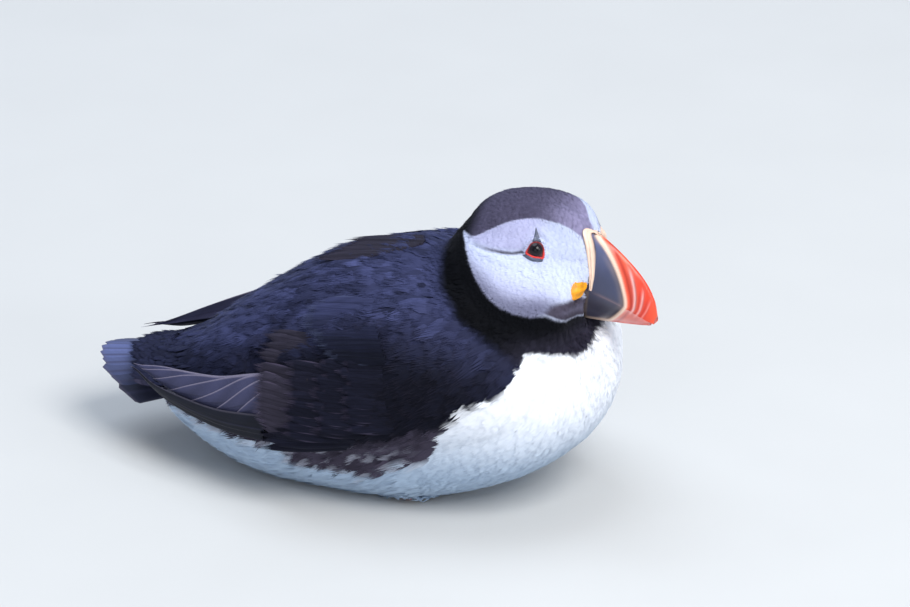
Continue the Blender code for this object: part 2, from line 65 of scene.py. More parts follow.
Array = np.ndarray
Piece = bpy.types.Object
Socket = bpy.types.NodeSocket
Place = tuple[float, float, float]
Line = tuple[Place, ...]
Outline = tuple[tuple[float, float], ...]
Stations = tuple[tuple[float, float, float, float], ...]
Faces = tuple[Array, Array]
Marker = Callable[[Array], Array]
Painter = Callable[[Array, Array, Array, Array, Array], Array]

RIGHT_BLADE = (
    (-15, 49.5, 57.5, 29), (-33, 46.5, 53.5, 28), (-50, 41, 47.5, 27.5),
    (-68, 33.5, 44, 29.5), (-81, 27.5, 42, 33.5), (-90, 23.5, 40.5, 38.5),
)
LEFT_BLADE = (
    (-15, 49, 58, 29), (-34, 48, 56.5, 28), (-52, 44, 50.5, 28),
    (-72, 34, 44.6, 33.5), (-89, 22.5, 39.8, 34.6), (-101, 16.5, 36.6, 35.4),
)
log = logging.getLogger("puffin")


class Side(Enum):
    """The two sides of the bird, as the sign of Y."""

    RIGHT = -1
    LEFT = 1

    @property
    def word(self) -> str:
        """The side's name in a piece's name."""
        return self.name.lower()


class Tone(Enum):
    """The bird's colours, as display values from 0 to 255."""

    WHITE = (240, 243, 250)
    BELLY_SHADE = (174, 194, 217)
    FACE = (203, 211, 237)
    FACE_LILAC = (178, 177, 212)
    FACE_RIM = (92, 92, 118)
    CHIN = (74, 69, 84)
    CROWN = (80, 76, 98)
    FOREHEAD = (148, 142, 176)
    NAPE = (14, 13, 20)
    COLLAR = (8, 9, 14)
    COLLAR_LOW = (46, 44, 58)
    MANTLE = (20, 22, 36)
    MANTLE_PAINTED_SHEEN = (56, 60, 93)
    FLANK = (66, 61, 76)
    FLANK_PALE = (186, 190, 206)
    COVERT = (22, 23, 37)
    COVERT_BROWN = (46, 43, 55)
    WORN_BROWN = (84, 76, 98)
    PRIMARY = (66, 67, 96)
    PRIMARY_BLUE = (19, 22, 36)
    FRINGE = (150, 142, 162)
    SCAPULAR_EDGE_HIGHLIGHT = (100, 108, 140)
    TAIL = (26, 28, 42)
    TAIL_PAINTED_SHEEN = (98, 108, 156)
    CREASE = (60, 54, 66)
    BILL_BASE = (64, 70, 100)
    BILL_BASE_LOW = (72, 70, 86)
    BILL_CREAM = (236, 205, 184)
    BILL_ORANGE = (232, 82, 44)
    BILL_RED = (222, 52, 24)
    BILL_GROOVE = (176, 34, 18)
    BILL_PALE = (236, 186, 182)
    EYE_RING = (206, 46, 44)
    EYE_PLATE = (78, 84, 104)
    ROSETTE = (248, 164, 12)
    LEG = (214, 92, 40)
    CLAW = (44, 38, 40)

    @property
    def linear(self) -> Array:
        """The colour in linear light."""
        share = np.array(self.value, float) / 255
        return np.where(share <= 0.04045, share / 12.92, ((share + 0.055) / 1.055) ** 2.4)


def ramp(low: float, high: float, value: Array) -> Array:
    """Rises smoothly from 0 at low to 1 at high."""
    share = np.clip((value - low) / (high - low), 0, 1)
    return share * share * (3 - 2 * share)


def bell(value: Array, width: float) -> Array:
    """A smooth bump, 1 at 0, that falls away over about a width."""
    return np.exp(-((value / width) ** 2))


def unit(vectors: Array) -> Array:
    """The same directions with a length of 1."""
    return vectors / np.maximum(np.linalg.norm(vectors, axis=-1, keepdims=True), 1e-12)


def mixed(low: Tone | Array | Place, high: Tone | Array | Place, share: Array) -> Array:
    """A blend of two linear colours, with a share for each point."""
    low, high = (tone.linear if isinstance(tone, Tone) else np.asarray(tone) for tone in (low, high))
    return low + (high - low) * np.asarray(share)[..., None]


def spline(points: Array, count: int, closed: bool = False) -> Array:
    """A smooth curve through some points.

    Args:
        points: The points that the curve passes through.
        count: How many points to return.
        closed: Whether the curve returns to its start.

    Returns:
        Points spread evenly over the curve's spans.
    """
    known = np.asarray(points, float)
    if closed:
        known = np.vstack([known[-1:], known, known[:2]])
    else:
        known = np.vstack([2 * known[0] - known[1], known, 2 * known[-1] - known[-2]])
    spans = len(known) - 3
    places = np.linspace(0, spans, count, endpoint=not closed)
    start = np.minimum(places.astype(int), spans - 1)
    t = (places - start)[:, None]
    a, b, c, d = (known[start + k] for k in range(4))
    cubic = 2 * b + (c - a) * t + (2 * a - 5 * b + 4 * c - d) * t**2 + (3 * b - a - 3 * c + d) * t**3
    return 0.5 * cubic


def ripple(points: Array, size: float, seed: int) -> Array:
    """A smooth random value from -1 to 1 that changes over a distance of about size.

    Args:
        points: Places in millimetres.
        size: The usual width of a patch, in millimetres.
        seed: Picks one pattern.

    Returns:
        One value for each place.
    """
    chance = np.random.default_rng(seed)
    total = np.zeros(points.shape[:-1])
    for _ in range(7):
        way = unit(chance.normal(size=3)) * chance.uniform(0.6, 1.6) * 2 * math.pi / (2.2 * size)
        total += np.sin(points @ way + chance.uniform(0, 2 * math.pi))
    return np.clip(total / 3.2, -1, 1)


def placed(name: str, data: bpy.types.ID) -> Piece:
    """Makes an object in the scene.

    Args:
        name: The object's name.
        data: Its mesh, camera or light.

    Returns:
        The new object.
    """
    piece = bpy.data.objects.new(name, data)
    bpy.context.scene.collection.objects.link(piece)
    return piece


def read(items: bpy.types.bpy_prop_collection, key: str, width: int, kind: type = float) -> Array:
    """Reads one property of many items.

    Args:
        items: The items.
        key: The property's name.
        width: How many numbers it has.
        kind: The type of the numbers.

    Returns:
        One row of numbers for each item.
    """
    values = np.zeros(len(items) * width, kind)
    items.foreach_get(key, values)
    return values.reshape(-1, width)


def tinted(mesh: bpy.types.Mesh, colours: Array) -> None:
    """Stores a linear colour at each point of a mesh.

    Args:
        mesh: The mesh.
        colours: One colour for each of its points.
    """
    tint = mesh.color_attributes.new(TINT, "FLOAT_COLOR", "POINT")
    rgba = np.hstack([colours, np.ones((len(colours), 1))])
    tint.data.foreach_set("color", rgba.astype(np.float32).ravel())


@dataclass
class MeshParts:
    """The numbers of one mesh: points, faces, colours and maps, all in metres."""

    points: Array
    quads: Array
    triangles: Array
    colours: Array
    bake: Array
    vane: Array

    @staticmethod
    def merged(parts: "list[MeshParts]") -> "MeshParts":
        """Joins several sets into one, keeping each one's own points.

        Args:
            parts: The sets, in order.

        Returns:
            One set with all of their points and faces.
        """
        shift = np.cumsum([0] + [len(p.points) for p in parts[:-1]])
        quads = np.vstack([p.quads + s for p, s in zip(parts, shift)])
        triangles = np.vstack([p.triangles + s for p, s in zip(parts, shift)])
        points, colours, bake, vane = (
            np.vstack([getattr(p, name) for p in parts]) for name in ("points", "colours", "bake", "vane")
        )
        return MeshParts(points, quads, triangles, colours, bake, vane)

    def to_object(self, name: str) -> Piece:
        """Makes the mesh object.

        Args:
            name: The piece's name.

        Returns:
            The new object, linked to the scene.
        """
        mesh = bpy.data.meshes.new(name)
        loops = np.concatenate([self.quads.ravel(), self.triangles.ravel()]).astype(np.int32)
        quad_starts = np.arange(len(self.quads)) * 4
        starts = np.concatenate([quad_starts, len(self.quads) * 4 + np.arange(len(self.triangles)) * 3])
        mesh.vertices.add(len(self.points))
        mesh.vertices.foreach_set("co", self.points.astype(np.float32).ravel())
        mesh.loops.add(len(loops))
        mesh.loops.foreach_set("vertex_index", loops)
        mesh.polygons.add(len(starts))
        mesh.polygons.foreach_set("loop_start", starts.astype(np.int32))
        mesh.update(calc_edges=True)
        mesh.validate()
        mesh.shade_smooth()
        tinted(mesh, np.clip(self.colours, 0, 1))
        held = read(mesh.loops, "vertex_index", 1, np.int32)[:, 0]
        for title, values in ((BAKE_MAP, self.bake), (VANE_MAP, self.vane)):
            layer = mesh.uv_layers.new(name=title, do_init=False)
            layer.data.foreach_set("uv", values[held].astype(np.float32).ravel())
        mesh.uv_layers.active = mesh.uv_layers[BAKE_MAP]
        return placed(name, mesh)


def grid_faces(rows: int, columns: int, wrap: bool = False) -> Array:
    """The four-sided faces of a grid of points.

    Args:
        rows: Rows of points.
        columns: Points in a row.
        wrap: Whether each row closes on itself.

    Returns:
        An array of faces with four point numbers each.
    """
    across = columns if wrap else columns - 1
    r, c = np.meshgrid(np.arange(rows - 1), np.arange(across), indexing="ij")
    a = (r * columns + c).ravel()
    b = (r * columns + (c + 1) % columns).ravel()
    return np.stack([a, b, b + columns, a + columns], 1)


def ball_faces(rings: int, around: int) -> Faces:
    """The faces of a ball whose points lie in rings from one pole to the other.

    Args:
        rings: How many rings there are.
        around: Points in a ring.

    Returns:
        The four-sided faces, and the triangles of the two ends.
    """
    last = (rings - 1) * around
    fans = [(0, k, k + 1) for k in range(1, around - 1)]
    fans += [(last, last + k + 1, last + k) for k in range(1, around - 1)]
    return grid_faces(rings, around, wrap=True)[:, ::-1], np.array(fans)


def even_map(rows: int, columns: int) -> Array:
    """Bake places of a grid of points that fills the map, with its rows upright."""
    u, v = np.meshgrid(np.linspace(0.02, 0.98, rows), np.linspace(0.02, 0.98, columns), indexing="ij")
    return np.stack([v, u], -1).reshape(-1, 2)


def lattice(rows: int, columns: int, low: float = 0) -> tuple[Array, Array]:
    """Shares along a grid of points, from 0 to 1, and across it, from low to 1."""
    return np.meshgrid(np.linspace(0, 1, rows), np.linspace(low, 1, columns), indexing="ij")


class Finish:
    """A material made of nodes. Each kind of finish adds its own nodes."""

    def __init__(self, name: str, roughness: float, specular: float = 0.5) -> None:
        """Starts a material with one Principled shader.

        Args:
            name: The material's name.
            roughness: Its roughness.
            specular: How strong its shine is.
        """
        self.material = bpy.data.materials.new(name)
        self.material.use_nodes = True
        self.nodes = self.material.node_tree.nodes
        self.links = self.material.node_tree.links
        self.shader = self.nodes["Principled BSDF"]
        self.set(Roughness=roughness, Specular_IOR_Level=specular)

    def set(self, **values: float | tuple[float, ...]) -> None:
        """Sets some of the shader's own values."""
        for key, value in values.items():
            self.shader.inputs[key.replace("_", " ")].default_value = value

    def add(self, kind: str, **values: object) -> bpy.types.Node:
        """Adds a node and sets its properties and its inputs by name.

        Args:
            kind: The node's type.
            **values: What to set on it.

        Returns:
            The new node.
        """
        node = self.nodes.new(kind)
        for key, value in values.items():
            if hasattr(node, key):
                setattr(node, key, value)
            else:
                node.inputs[key.replace("_", " ")].default_value = value
        return node

    def link(self, source: Socket, target: Socket) -> None:
        """Joins two sockets."""
        self.links.new(source, target)

    def tint(self) -> Socket:
        """The colour that the mesh carries at each point."""
        return self.add("ShaderNodeVertexColor", layer_name=TINT).outputs["Color"]

    def varied(self, colour: Socket, by: Socket, low: float, high: float) -> None:
        """Sends a colour to the shader, darker and lighter by a pattern.

        Args:
            colour: The colour's socket.
            by: The pattern's socket.
            low: The factor where the pattern is 0.
            high: The factor where it is 1.
        """
        scale = self.add("ShaderNodeMapRange", To_Min=low, To_Max=high)
        mix = self.add("ShaderNodeMix", data_type="RGBA", blend_type="MULTIPLY")
        mix.inputs["Factor"].default_value = 1.0
        grey = self.add("ShaderNodeCombineColor")
        self.link(by, scale.inputs["Value"])
        for channel in ("Red", "Green", "Blue"):
            self.link(scale.outputs["Result"], grey.inputs[channel])
        self.link(colour, mix.inputs["A"])
        self.link(grey.outputs["Color"], mix.inputs["B"])
        self.link(mix.outputs["Result"], self.shader.inputs["Base Color"])

    def bump(self, height: Socket, strength: float, distance: float) -> None:
        """Adds fine relief to the shader's normal.

        Args:
            height: The relief's socket.
            strength: How strong it is.
            distance: How deep it is, in metres.
        """
        node = self.add("ShaderNodeBump", Strength=strength, Distance=distance)
        self.link(height, node.inputs["Height"])
        self.link(node.outputs["Normal"], self.shader.inputs["Normal"])

    def noise(self, scale: float, detail: float, stretch: Place, map_name: str = "") -> Socket:
        """A noise pattern, stretched along its axes.

        Args:
            scale: How fine the pattern is.
            detail: How many finer layers it has.
            stretch: Its scale along each axis.
            map_name: The map that it lies on, or nothing for object space.

        Returns:
            The pattern's socket.
        """
        mapping = self.add("ShaderNodeMapping")
        mapping.inputs["Scale"].default_value = stretch
        if map_name:
            self.link(self.add("ShaderNodeUVMap", uv_map=map_name).outputs["UV"], mapping.inputs["Vector"])
        else:
            self.link(self.add("ShaderNodeTexCoord").outputs["Object"], mapping.inputs["Vector"])
        node = self.add("ShaderNodeTexNoise", Scale=scale, Detail=detail)
        self.link(mapping.outputs["Vector"], node.inputs["Vector"])
        return node.outputs["Fac"]

    def cells(self, scale: float) -> Socket:
        """A pattern of small cells in object space.

        Args:
            scale: How fine the cells are.

        Returns:
            The pattern's socket.
        """
        cells = self.add("ShaderNodeTexVoronoi", Scale=scale)
        self.link(self.add("ShaderNodeTexCoord").outputs["Object"], cells.inputs["Vector"])
        return cells.outputs["Distance"]

    def plain(self, colour: Array | Place) -> Socket:
        """One colour, for a pattern to vary.

        Args:
            colour: The linear colour.

        Returns:
            Its socket.
        """
        node = self.add("ShaderNodeRGB")
        node.outputs[0].default_value = (*colour, 1)
        return node.outputs[0]

    def dress(self, piece: Piece) -> None:
        """Gives a piece this material, in its first slot.

        Args:
            piece: The piece.
        """
        if piece.material_slots:
            piece.material_slots[0].material = self.material
        else:
            piece.data.materials.append(self.material)


class FeatherFinish(Finish):
    """Feather vanes: matt, with fine barbs that run out from the shaft."""

    def __init__(
        self, name: str, roughness: float, sheen: float, sheen_tint: Place, barbs: float, relief: float = 0.5
    ) -> None:
        """Makes the material.

        Args:
            name: The material's name.
            roughness: The vanes' roughness.
            sheen: How strong their sheen is.
            sheen_tint: Its colour.
            barbs: How strongly the barbs show in colour.
            relief: How strongly they show in relief.
        """
        super().__init__(name, roughness, 0.06)
        self.set(Sheen_Weight=sheen, Sheen_Roughness=0.35, Sheen_Tint=(*sheen_tint, 1))
        strands = self.noise(1, 3, (26, 2.2, 1), VANE_MAP)
        self.varied(self.tint(), strands, 1 - barbs, 1 + barbs)
        self.bump(strands, relief, 0.00025)


class FlightFinish(Finish):
    """Long flight feathers: smoother than the coat, with slanting barbs."""

    def __init__(self) -> None:
        """Makes the material."""
        super().__init__("flight_vanes", 0.5, 0.15)
        self.set(Sheen_Weight=0.05, Sheen_Roughness=0.4, Sheen_Tint=(0.75, 0.8, 1, 1))
        barbs = self.noise(1, 2, (60, 2, 1), VANE_MAP)
        self.varied(self.tint(), barbs, 0.8, 1.2)
        self.bump(barbs, 0.35, 0.0002)


class SkinFinish(Finish):
    """Skin under the coat, in the colours of the feathers over it."""

    def __init__(self) -> None:
        """Makes the material."""
        super().__init__("plumage_skin", 0.8, 0.05)
        grain = self.noise(900, 3, (1, 1, 1))
        self.varied(self.tint(), grain, 0.75, 1.05)
        self.bump(grain, 0.5, 0.0003)


class HornFinish(Finish):
    """Horn of the bill, with growth lines and a dull gloss."""

    def __init__(self, name: str, roughness: float, grain: float) -> None:
        """Makes the material.

        Args:
            name: The material's name.
            roughness: The horn's roughness.
            grain: How strongly the growth lines show.
        """
        super().__init__(name, roughness, 0.5)
        self.set(Coat_Weight=0.25, Coat_Roughness=0.25)
        self.set(Subsurface_Weight=0.06, Subsurface_Radius=(0.004, 0.0015, 0.0008))
        lines = self.noise(420, 4, (1, 1, 0.35))
        self.varied(self.tint(), lines, 1 - grain, 1 + grain)
        self.bump(lines, 0.25, 0.0002)


class FleshFinish(Finish):
    """Bare soft skin: the eye's ring, the rosette and the feet."""

    def __init__(self, name: str, roughness: float, scale: float, depth: float) -> None:
        """Makes the material.

        Args:
            name: The material's name.
            roughness: The skin's roughness.
            scale: How fine its pores are.
            depth: How deep they are, in metres.
        """
        super().__init__(name, roughness, 0.5)
        self.set(Subsurface_Weight=0.15, Subsurface_Radius=(0.004, 0.001, 0.0005))
        pores = self.cells(scale)
        self.varied(self.tint(), pores, 0.92, 1.06)
        self.bump(pores, 0.3, depth)


class EyeFinish(Finish):
    """The wet surface of the eye."""

    def __init__(self) -> None:
        """Makes the material."""
        super().__init__("eye_wet", 0.15, 0.12)
        self.set(Coat_Weight=0.3, Coat_Roughness=0.02)
        fibres = self.noise(1400, 2, (1, 1, 1))
        self.varied(self.tint(), fibres, 0.8, 1.2)


class FootFinish(Finish):
    """The CAD feet's own colour and scales, in object space."""

    def __init__(self) -> None:
        """Makes the material."""
        super().__init__("foot_scales", 0.5, 0.5)
        scales = self.cells(700)
        self.varied(self.plain(Tone.LEG.linear), scales, 0.7, 1.15)
        self.bump(scales, 0.7, 0.0006)


class FloorFinish(Finish):
    """A plain pale floor."""

    def __init__(self) -> None:
        """Makes the material."""
        super().__init__("floor_pale", 0.85, 0.2)
        self.varied(self.plain((0.6, 0.6, 0.59)), self.noise(14, 2, (1, 1, 1)), 0.97, 1.03)


@dataclass
class Studio:
    """The camera, the lights and the floor."""

    azimuth: float = 17.0
    elevation: float = 25.0
    lens: float = 200.0
    distance: float = 1.9
    aim: Place = (0.03014, 0.0025, 0.0699)
    floor_size: float = 6.0

    def back(self) -> Vector:
        """The direction from the bird to the camera."""
        a, e = math.radians(self.azimuth), math.radians(self.elevation)
        return Vector((math.sin(a) * math.cos(e), -math.cos(a) * math.cos(e), math.sin(e)))

    def camera(self) -> None:
        """Makes the scene's camera."""
        eye = placed("camera", bpy.data.cameras.new("camera"))
        eye.data.lens = self.lens
        eye.data.sensor_width = 36
        eye.data.clip_end = 50
        eye.location = Vector(self.aim) + self.back() * self.distance
        eye.rotation_euler = (-self.back()).to_track_quat("-Z", "Y").to_euler()
        bpy.context.scene.camera = eye

    def light(self, name: str, place: Place, size: float, power: float, colour: Place) -> None:
        """Makes one square soft light that faces the bird.

        Args:
            name: The light's name.
            place: Where it hangs, in metres.
            size: Its width, in metres.
            power: Its power, in watts.
            colour: Its linear colour.
        """
        lamp = placed(name, bpy.data.lights.new(name, "AREA"))
        lamp.data.size = size
        lamp.data.energy = power
        lamp.data.color = colour
        lamp.location = place
        lamp.rotation_euler = (Vector(self.aim) - lamp.location).to_track_quat("-Z", "Y").to_euler()

    def lights(self) -> None:
        """Makes the soft lights and the pale surroundings."""
        self.light("key", (1.5, -1.1, 2.3), 1.5, 74, (1, 0.99, 0.97))
        self.light("sky", (-0.8, 0.5, 2.7), 2, 44, (0.78, 0.87, 1))
        self.light("fill", (0.4, -2.3, 0.9), 1.6, 8, (0.9, 0.95, 1))
        self.light("front", (2.6, -0.9, 1), 1.2, 16, (0.96, 0.98, 1))
        world = bpy.data.worlds.new("surroundings")
        world.use_nodes = True
        background = world.node_tree.nodes["Background"]
        background.inputs["Color"].default_value = (0.76, 0.85, 1, 1)
        background.inputs["Strength"].default_value = 0.45
        bpy.context.scene.world = world
        bpy.context.scene.view_settings.view_transform = "Standard"

    def floor(self) -> None:
        """Makes the floor under the bird."""
        mesh = bpy.data.meshes.new("floor")
        half = self.floor_size / 2
        corners = [(-half, -half, 0), (half, -half, 0), (half, half, 0), (-half, half, 0)]
        mesh.from_pydata(corners, [], [(0, 1, 2, 3)])
        piece = placed("floor", mesh)
        FloorFinish().dress(piece)

    def build(self) -> None:
        """Makes the whole studio."""
        self.camera()
        self.lights()
        self.floor()


@dataclass
class HeadAxes:
    """The head's own axes: x forward from the gape, y to the bird's left, z up from the closing line."""

    turn: float = -11.0
    dip: float = 12.0
    eye: Place = (-17.2, 16, 15.5)
    look: Place = (0.33, 0.80, 0.50)
    lid_height: float = 1.75
    lid_radius: float = 2.7

    def eye_frame(self, side: float) -> Array:
        """Rows that point ahead, up and out along the look of one side's eye.

        Args:
            side: -1 for the right eye, 1 for the left.

        Returns:
            The three directions, in rows.
        """
        out = unit(np.array((self.look[0], side * self.look[1], self.look[2])))
        ahead = np.array((0.863, -side * 0.469, 0.184))
        ahead = unit(ahead - (ahead @ out) * out)
        over = np.cross(out, ahead) * -side
        return np.stack([ahead, over, out])

    def at_eye(self, head: Array, side: float) -> Array:
        """Turns head axes into one eye's own: ahead, up and out."""
        x, y, z = self.eye
        return (head - np.array((x, side * y, z))) @ self.eye_frame(side).T

    def from_eye(self, places: Array, side: float) -> Array:
        """Turns one eye's own axes into head axes."""
        x, y, z = self.eye
        return places @ self.eye_frame(side) + np.array((x, side * y, z))

    def eye_gap(self, head: Array) -> Array:
        """How far places of the head's axes lie outside the nearer eye's lids.

        Args:
            head: Places in the head's axes.

        Returns:
            Millimetres for each place, below 0 inside.
        """
        gaps = []
        for side in (-1.0, 1.0):
            ahead, over, out = self.at_eye(head, side).T
            corner = np.hypot(ahead + 2.4, over + 0.9) - 1.2
            round_eye = np.hypot(ahead, over) - self.lid_radius - 0.45
            gaps.append(np.where(out > -6, np.minimum(corner, round_eye), 40.0))
        return np.minimum(*gaps)

    def __post_init__(self) -> None:
        """Finds the gape from the place of the right eye in the frame."""
        turned = Matrix.Rotation(math.radians(self.turn), 3, "Z")
        self.matrix = np.array(turned @ Matrix.Rotation(math.radians(self.dip), 3, "Y"))
        low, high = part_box("eye_right")
        x, y, z = self.eye
        self.origin = np.array((low + high) / 2) / MM - self.matrix @ np.array((x, -y, z))

    def local(self, points: Array) -> Array:
        """Turns row-frame millimetres into the head's axes."""
        return (points - self.origin) @ self.matrix

    def world(self, points: Array) -> Array:
        """Turns the head's axes into row-frame millimetres."""
        return np.asarray(points, float) @ self.matrix.T + self.origin


@dataclass
class SkullMap:
    """Tells where a point lies on the head's side, by its direction from the skull's middle.

    The map's middle is straight out to the side, and a point's distance from it is an angle.
    """

    middle: Place = (-22, 0, 4)
    reach: float = 22.0

    def flat(self, points: Array) -> Array:
        """Lays points of the head's axes on the map, both sides on one, in millimetres.

        Args:
            points: Places in the head's axes, changed here.

        Returns:
            Two numbers for each place.
        """
        away = points - np.array(self.middle)
        away[..., 1] = np.abs(away[..., 1])
        way = unit(away)
        angle = np.arccos(np.clip(way[..., 1], -1, 1))
        around = np.arctan2(way[..., 2], way[..., 0])
        return self.reach * angle[..., None] * np.stack([np.cos(around), np.sin(around)], -1)

    def inside(self, points: Array, outline: Array) -> Array:
        """Signed distance from a closed outline, above 0 inside."""
        flat, ring = self.flat(points.copy()), self.flat(spline(outline, 150, closed=True))
        return signed_distance(flat, ring)


def signed_distance(flat: Array, ring: Array) -> Array:
    """Distance of points from a closed ring on a plane, above 0 inside it.

    Args:
        flat: Points, two numbers each.
        ring: The ring's corners in order.

    Returns:
        One distance for each point.
    """
    result = np.empty(len(flat))
    ahead = np.roll(ring, -1, 0)
    edge = ahead - ring
    length = np.maximum((edge**2).sum(1), 1e-12)
    for start in range(0, len(flat), 20000):
        part = flat[start : start + 20000, None]
        share = np.clip(((part - ring) * edge).sum(2) / length, 0, 1)
        gap = np.sqrt(((part - ring - edge * share[..., None]) ** 2).sum(2)).min(1)
        above = (ring[:, 1] > part[..., 1]) != (ahead[:, 1] > part[..., 1])
        drop = np.where(np.abs(edge[:, 1]) < 1e-12, 1e-12, edge[:, 1])
        crossing = ring[:, 0] + (part[..., 1] - ring[:, 1]) * edge[:, 0] / drop
        odd = (above & (part[..., 0] < crossing)).sum(1) % 2
        result[start : start + 20000] = np.where(odd == 1, gap, -gap)
    return result


def line_distance(points: Array, line: Array) -> Array:
    """Distance of points from an open line, in any number of axes.

    Args:
        points: Places.
        line: The line's corners in order.

    Returns:
        One distance for each place.
    """
    start, edge = line[:-1], line[1:] - line[:-1]
    length = np.maximum((edge**2).sum(1), 1e-12)
    share = np.clip(((points[:, None] - start) * edge).sum(2) / length, 0, 1)
    return np.sqrt(((points[:, None] - start - edge * share[..., None]) ** 2).sum(2)).min(1)


class Region(Enum):
    """The parts of the coat, each with feathers of its own size."""

    FACE = 0
    CROWN = 1
    COLLAR = 2
    BREAST = 3
    BELLY = 4
    MANTLE = 5
    FLANK = 6
    WING = 7
    EDGE = 8


@dataclass
class Markings:
    """Where the bird is white, grey and black. The skin and the coat both read it."""

    axes: HeadAxes
    skull: SkullMap = field(default_factory=SkullMap)
    cheek: Line = (
        (-49.2, 11.5, 8), (-43, 17, 10.5), (-38, 16.5, 15), (-33.5, 15.5, 19.2),
        (-27.1, 13.3, 23.4), (-21.6, 11.6, 25.3), (-15.6, 10.3, 25.3), (-9.4, 8.7, 24.3), (-4.8, 7.2, 22.8),
        (1, 5, 20), (7, 4, 12), (9, 3, 2), (6, 3, -8), (2, 5.7, -7.4),
        (0.9, 12.4, -5.4), (-2.5, 25.9, -3), (-8.9, 29.7, -4.8), (-16.1, 31.9, -4.9), (-22, 32.5, -3.9),
        (-29.3, 31.2, -0.8), (-36.4, 27.5, 3.1), (-40.7, 23.5, 5.5), (-45.9, 17.1, 7.4),
    )
    chin: Line = (
        (-4.6, 25.4, -3.3), (-3.2, 23.2, 0.8), (-0.8, 16.8, 2.4), (1.5, 9, 0.8), (6, 3, -2),
        (6, 2, -7.6), (1.9, 5.7, -7), (0.4, 12.4, -5.2), (-2.2, 24, -3.1),
    )
    crease: Line = (
        (-20.8, 19.7, 14.1), (-24.8, 21.1, 12.4), (-32.4, 22.1, 10.8), (-37.8, 21.1, 9.7),
        (-40.9, 19.8, 9),
    )
    border: Outline = (
        (-125, 26), (-90, 24), (-72, 25.4), (-57.6, 26.5), (-39.7, 25.8), (-20, 24.5),
        (-8.6, 19), (1, 17.6), (12, 20), (24.1, 24.2), (32.5, 27.6), (39.4, 33), (41.6, 42.2),
        (46.9, 49.3), (51.1, 54.3), (60, 57.4), (64.4, 61.5), (66.6, 65.2), (68, 68), (68.9, 71.6),
        (74, 71.8), (79.7, 69.9), (84.6, 68), (90, 68.4), (115, 70.5),
    )
    collar_middle: Place = (-20, 0, -2)
    far_brow: Outline = ((-20, 10.5), (-14, 6.6), (-9.4, 4), (-5.1, 0), (-1.5, -1.5))
    bill_edge: Outline = (
        (-12, 3.9), (-3, 4.1), (1, 3.9), (5, 3), (8, 2.4), (11, 1.6), (16, -0.6), (20.4, -2.4), (24.2, -5),
        (27, -7.4),
    )
    bill_top: Outline = (
        (-8, -3.5), (-6.2, -4.8), (-4.6, -5.3), (-2.5, -3.8), (-1, -2), (0, -1.4), (2, -0.6), (4.6, -3),
        (6.2, -4), (8, -3.5),
    )
    wing_top: Outline = ((-40, 56), (-28, 66), (-12, 74), (8, 79), (30, 80), (52, 78), (69, 73), (77, 66))
    wing_foot: Outline = (
        (-40, 30), (-28, 28), (-12, 29), (8, 32), (20, 36), (34, 42), (52, 48), (69, 56), (77, 64),
    )
    # Line along which painted shade darkens the dip beside the shoulder lobe.
    hollow_shade: Line = (
        (-23, 33, 65), (-22.5, 30.5, 72.5), (-18, 27, 79), (-8, 25.5, 84),
        (6, 25, 88),
    )

    def cheek_depth(self, head: Array) -> Array:
        """How far inside the white cheek places lie.

        Args:
            head: Places in the head's axes.

        Returns:
            Millimetres for each place, below 0 outside.
        """
        away = np.linalg.norm(head - np.array(self.skull.middle), axis=-1)
        depth = np.where(away < 60, self.skull.inside(head, np.array(self.cheek)), -60)
        x, y, z = head.T
        beyond = 0.8 * (y - np.interp(x, *np.array(self.far_brow).T))
        brow = (x > -20) & (x < 4) & (z > 14) & (y > -3)
        return np.where(brow, np.maximum(depth, beyond), depth)

    def bare(self, points: Array) -> Array:
        """Tells where no feather may start: under the horn and at the eye.

        Args:
            points: Places in millimetres.

        Returns:
            True or false for each place.
        """
        head = self.axes.local(points)
        x, y, z = head.T
        horn = (x > np.interp(z, *np.array(self.bill_edge).T) - 0.1) & (z > -12)
        horn = np.where(z > 22.5, x > np.interp(y, *np.array(self.bill_top).T) - 0.1, horn)
        return horn | (self.axes.eye_gap(head) < 0)

    def height_over_border(self, points: Array) -> Array:
        """Height above the line where dark feathers end.

        Args:
            points: Places in millimetres.

        Returns:
            Millimetres for each place.
        """
        x, y, z = points.T
        ragged = 2.2 * ripple(points * np.array((0.6, 1, 1)), 4, 21)
        ragged = ragged * ramp(-34, -22, x) * ramp(66, 50, x)
        throat = 3 * ramp(24, -4, np.abs(y)) * ramp(78, 86, x)
        return z - np.interp(x, *np.array(self.border).T) - throat + ragged

    def on_crown(self, head: Array) -> Array:
        """Whether points of the head's axes are on the cap over the cheeks."""
        x, z = head[..., 0], head[..., 2]
        return (x > -51) & (z > 9.5 - 0.06 * (x + 45)) & (np.abs(head[..., 1]) < 26)

    def regions(self, points: Array) -> Array:
        """The coat's region at each row-frame point, as the number of a Region.

        Args:
            points: Places in millimetres.

        Returns:
            One number for each place.
        """
        head = self.axes.local(points)
        cheek, over = self.cheek_depth(head), self.height_over_border(points)
        found = np.full(len(points), Region.MANTLE.value)
        x, y, z = points.T
        top = np.interp(x, *np.array(self.wing_top).T)
        foot = np.interp(x, *np.array(self.wing_foot).T)
        dark = over > 0
        found[dark & (z < foot + 2)] = Region.FLANK.value
        found[dark & (z > foot) & (z < top) & (np.abs(y) > 28) & (x > -42) & (x < 72)] = Region.WING.value
        found[~dark] = Region.BREAST.value
        found[~dark & (x < 30)] = Region.BELLY.value
        collar = (over > -1) & (np.linalg.norm(head - np.array(self.collar_middle), axis=-1) < 46) & (z > 66)
        collar &= head[..., 2] > -21 - 0.25 * head[..., 0]
        found[collar] = Region.COLLAR.value
        found[collar & (cheek > -2.6)] = Region.EDGE.value
        found[self.on_crown(head)] = Region.CROWN.value
        found[cheek > 0] = Region.FACE.value
        return found

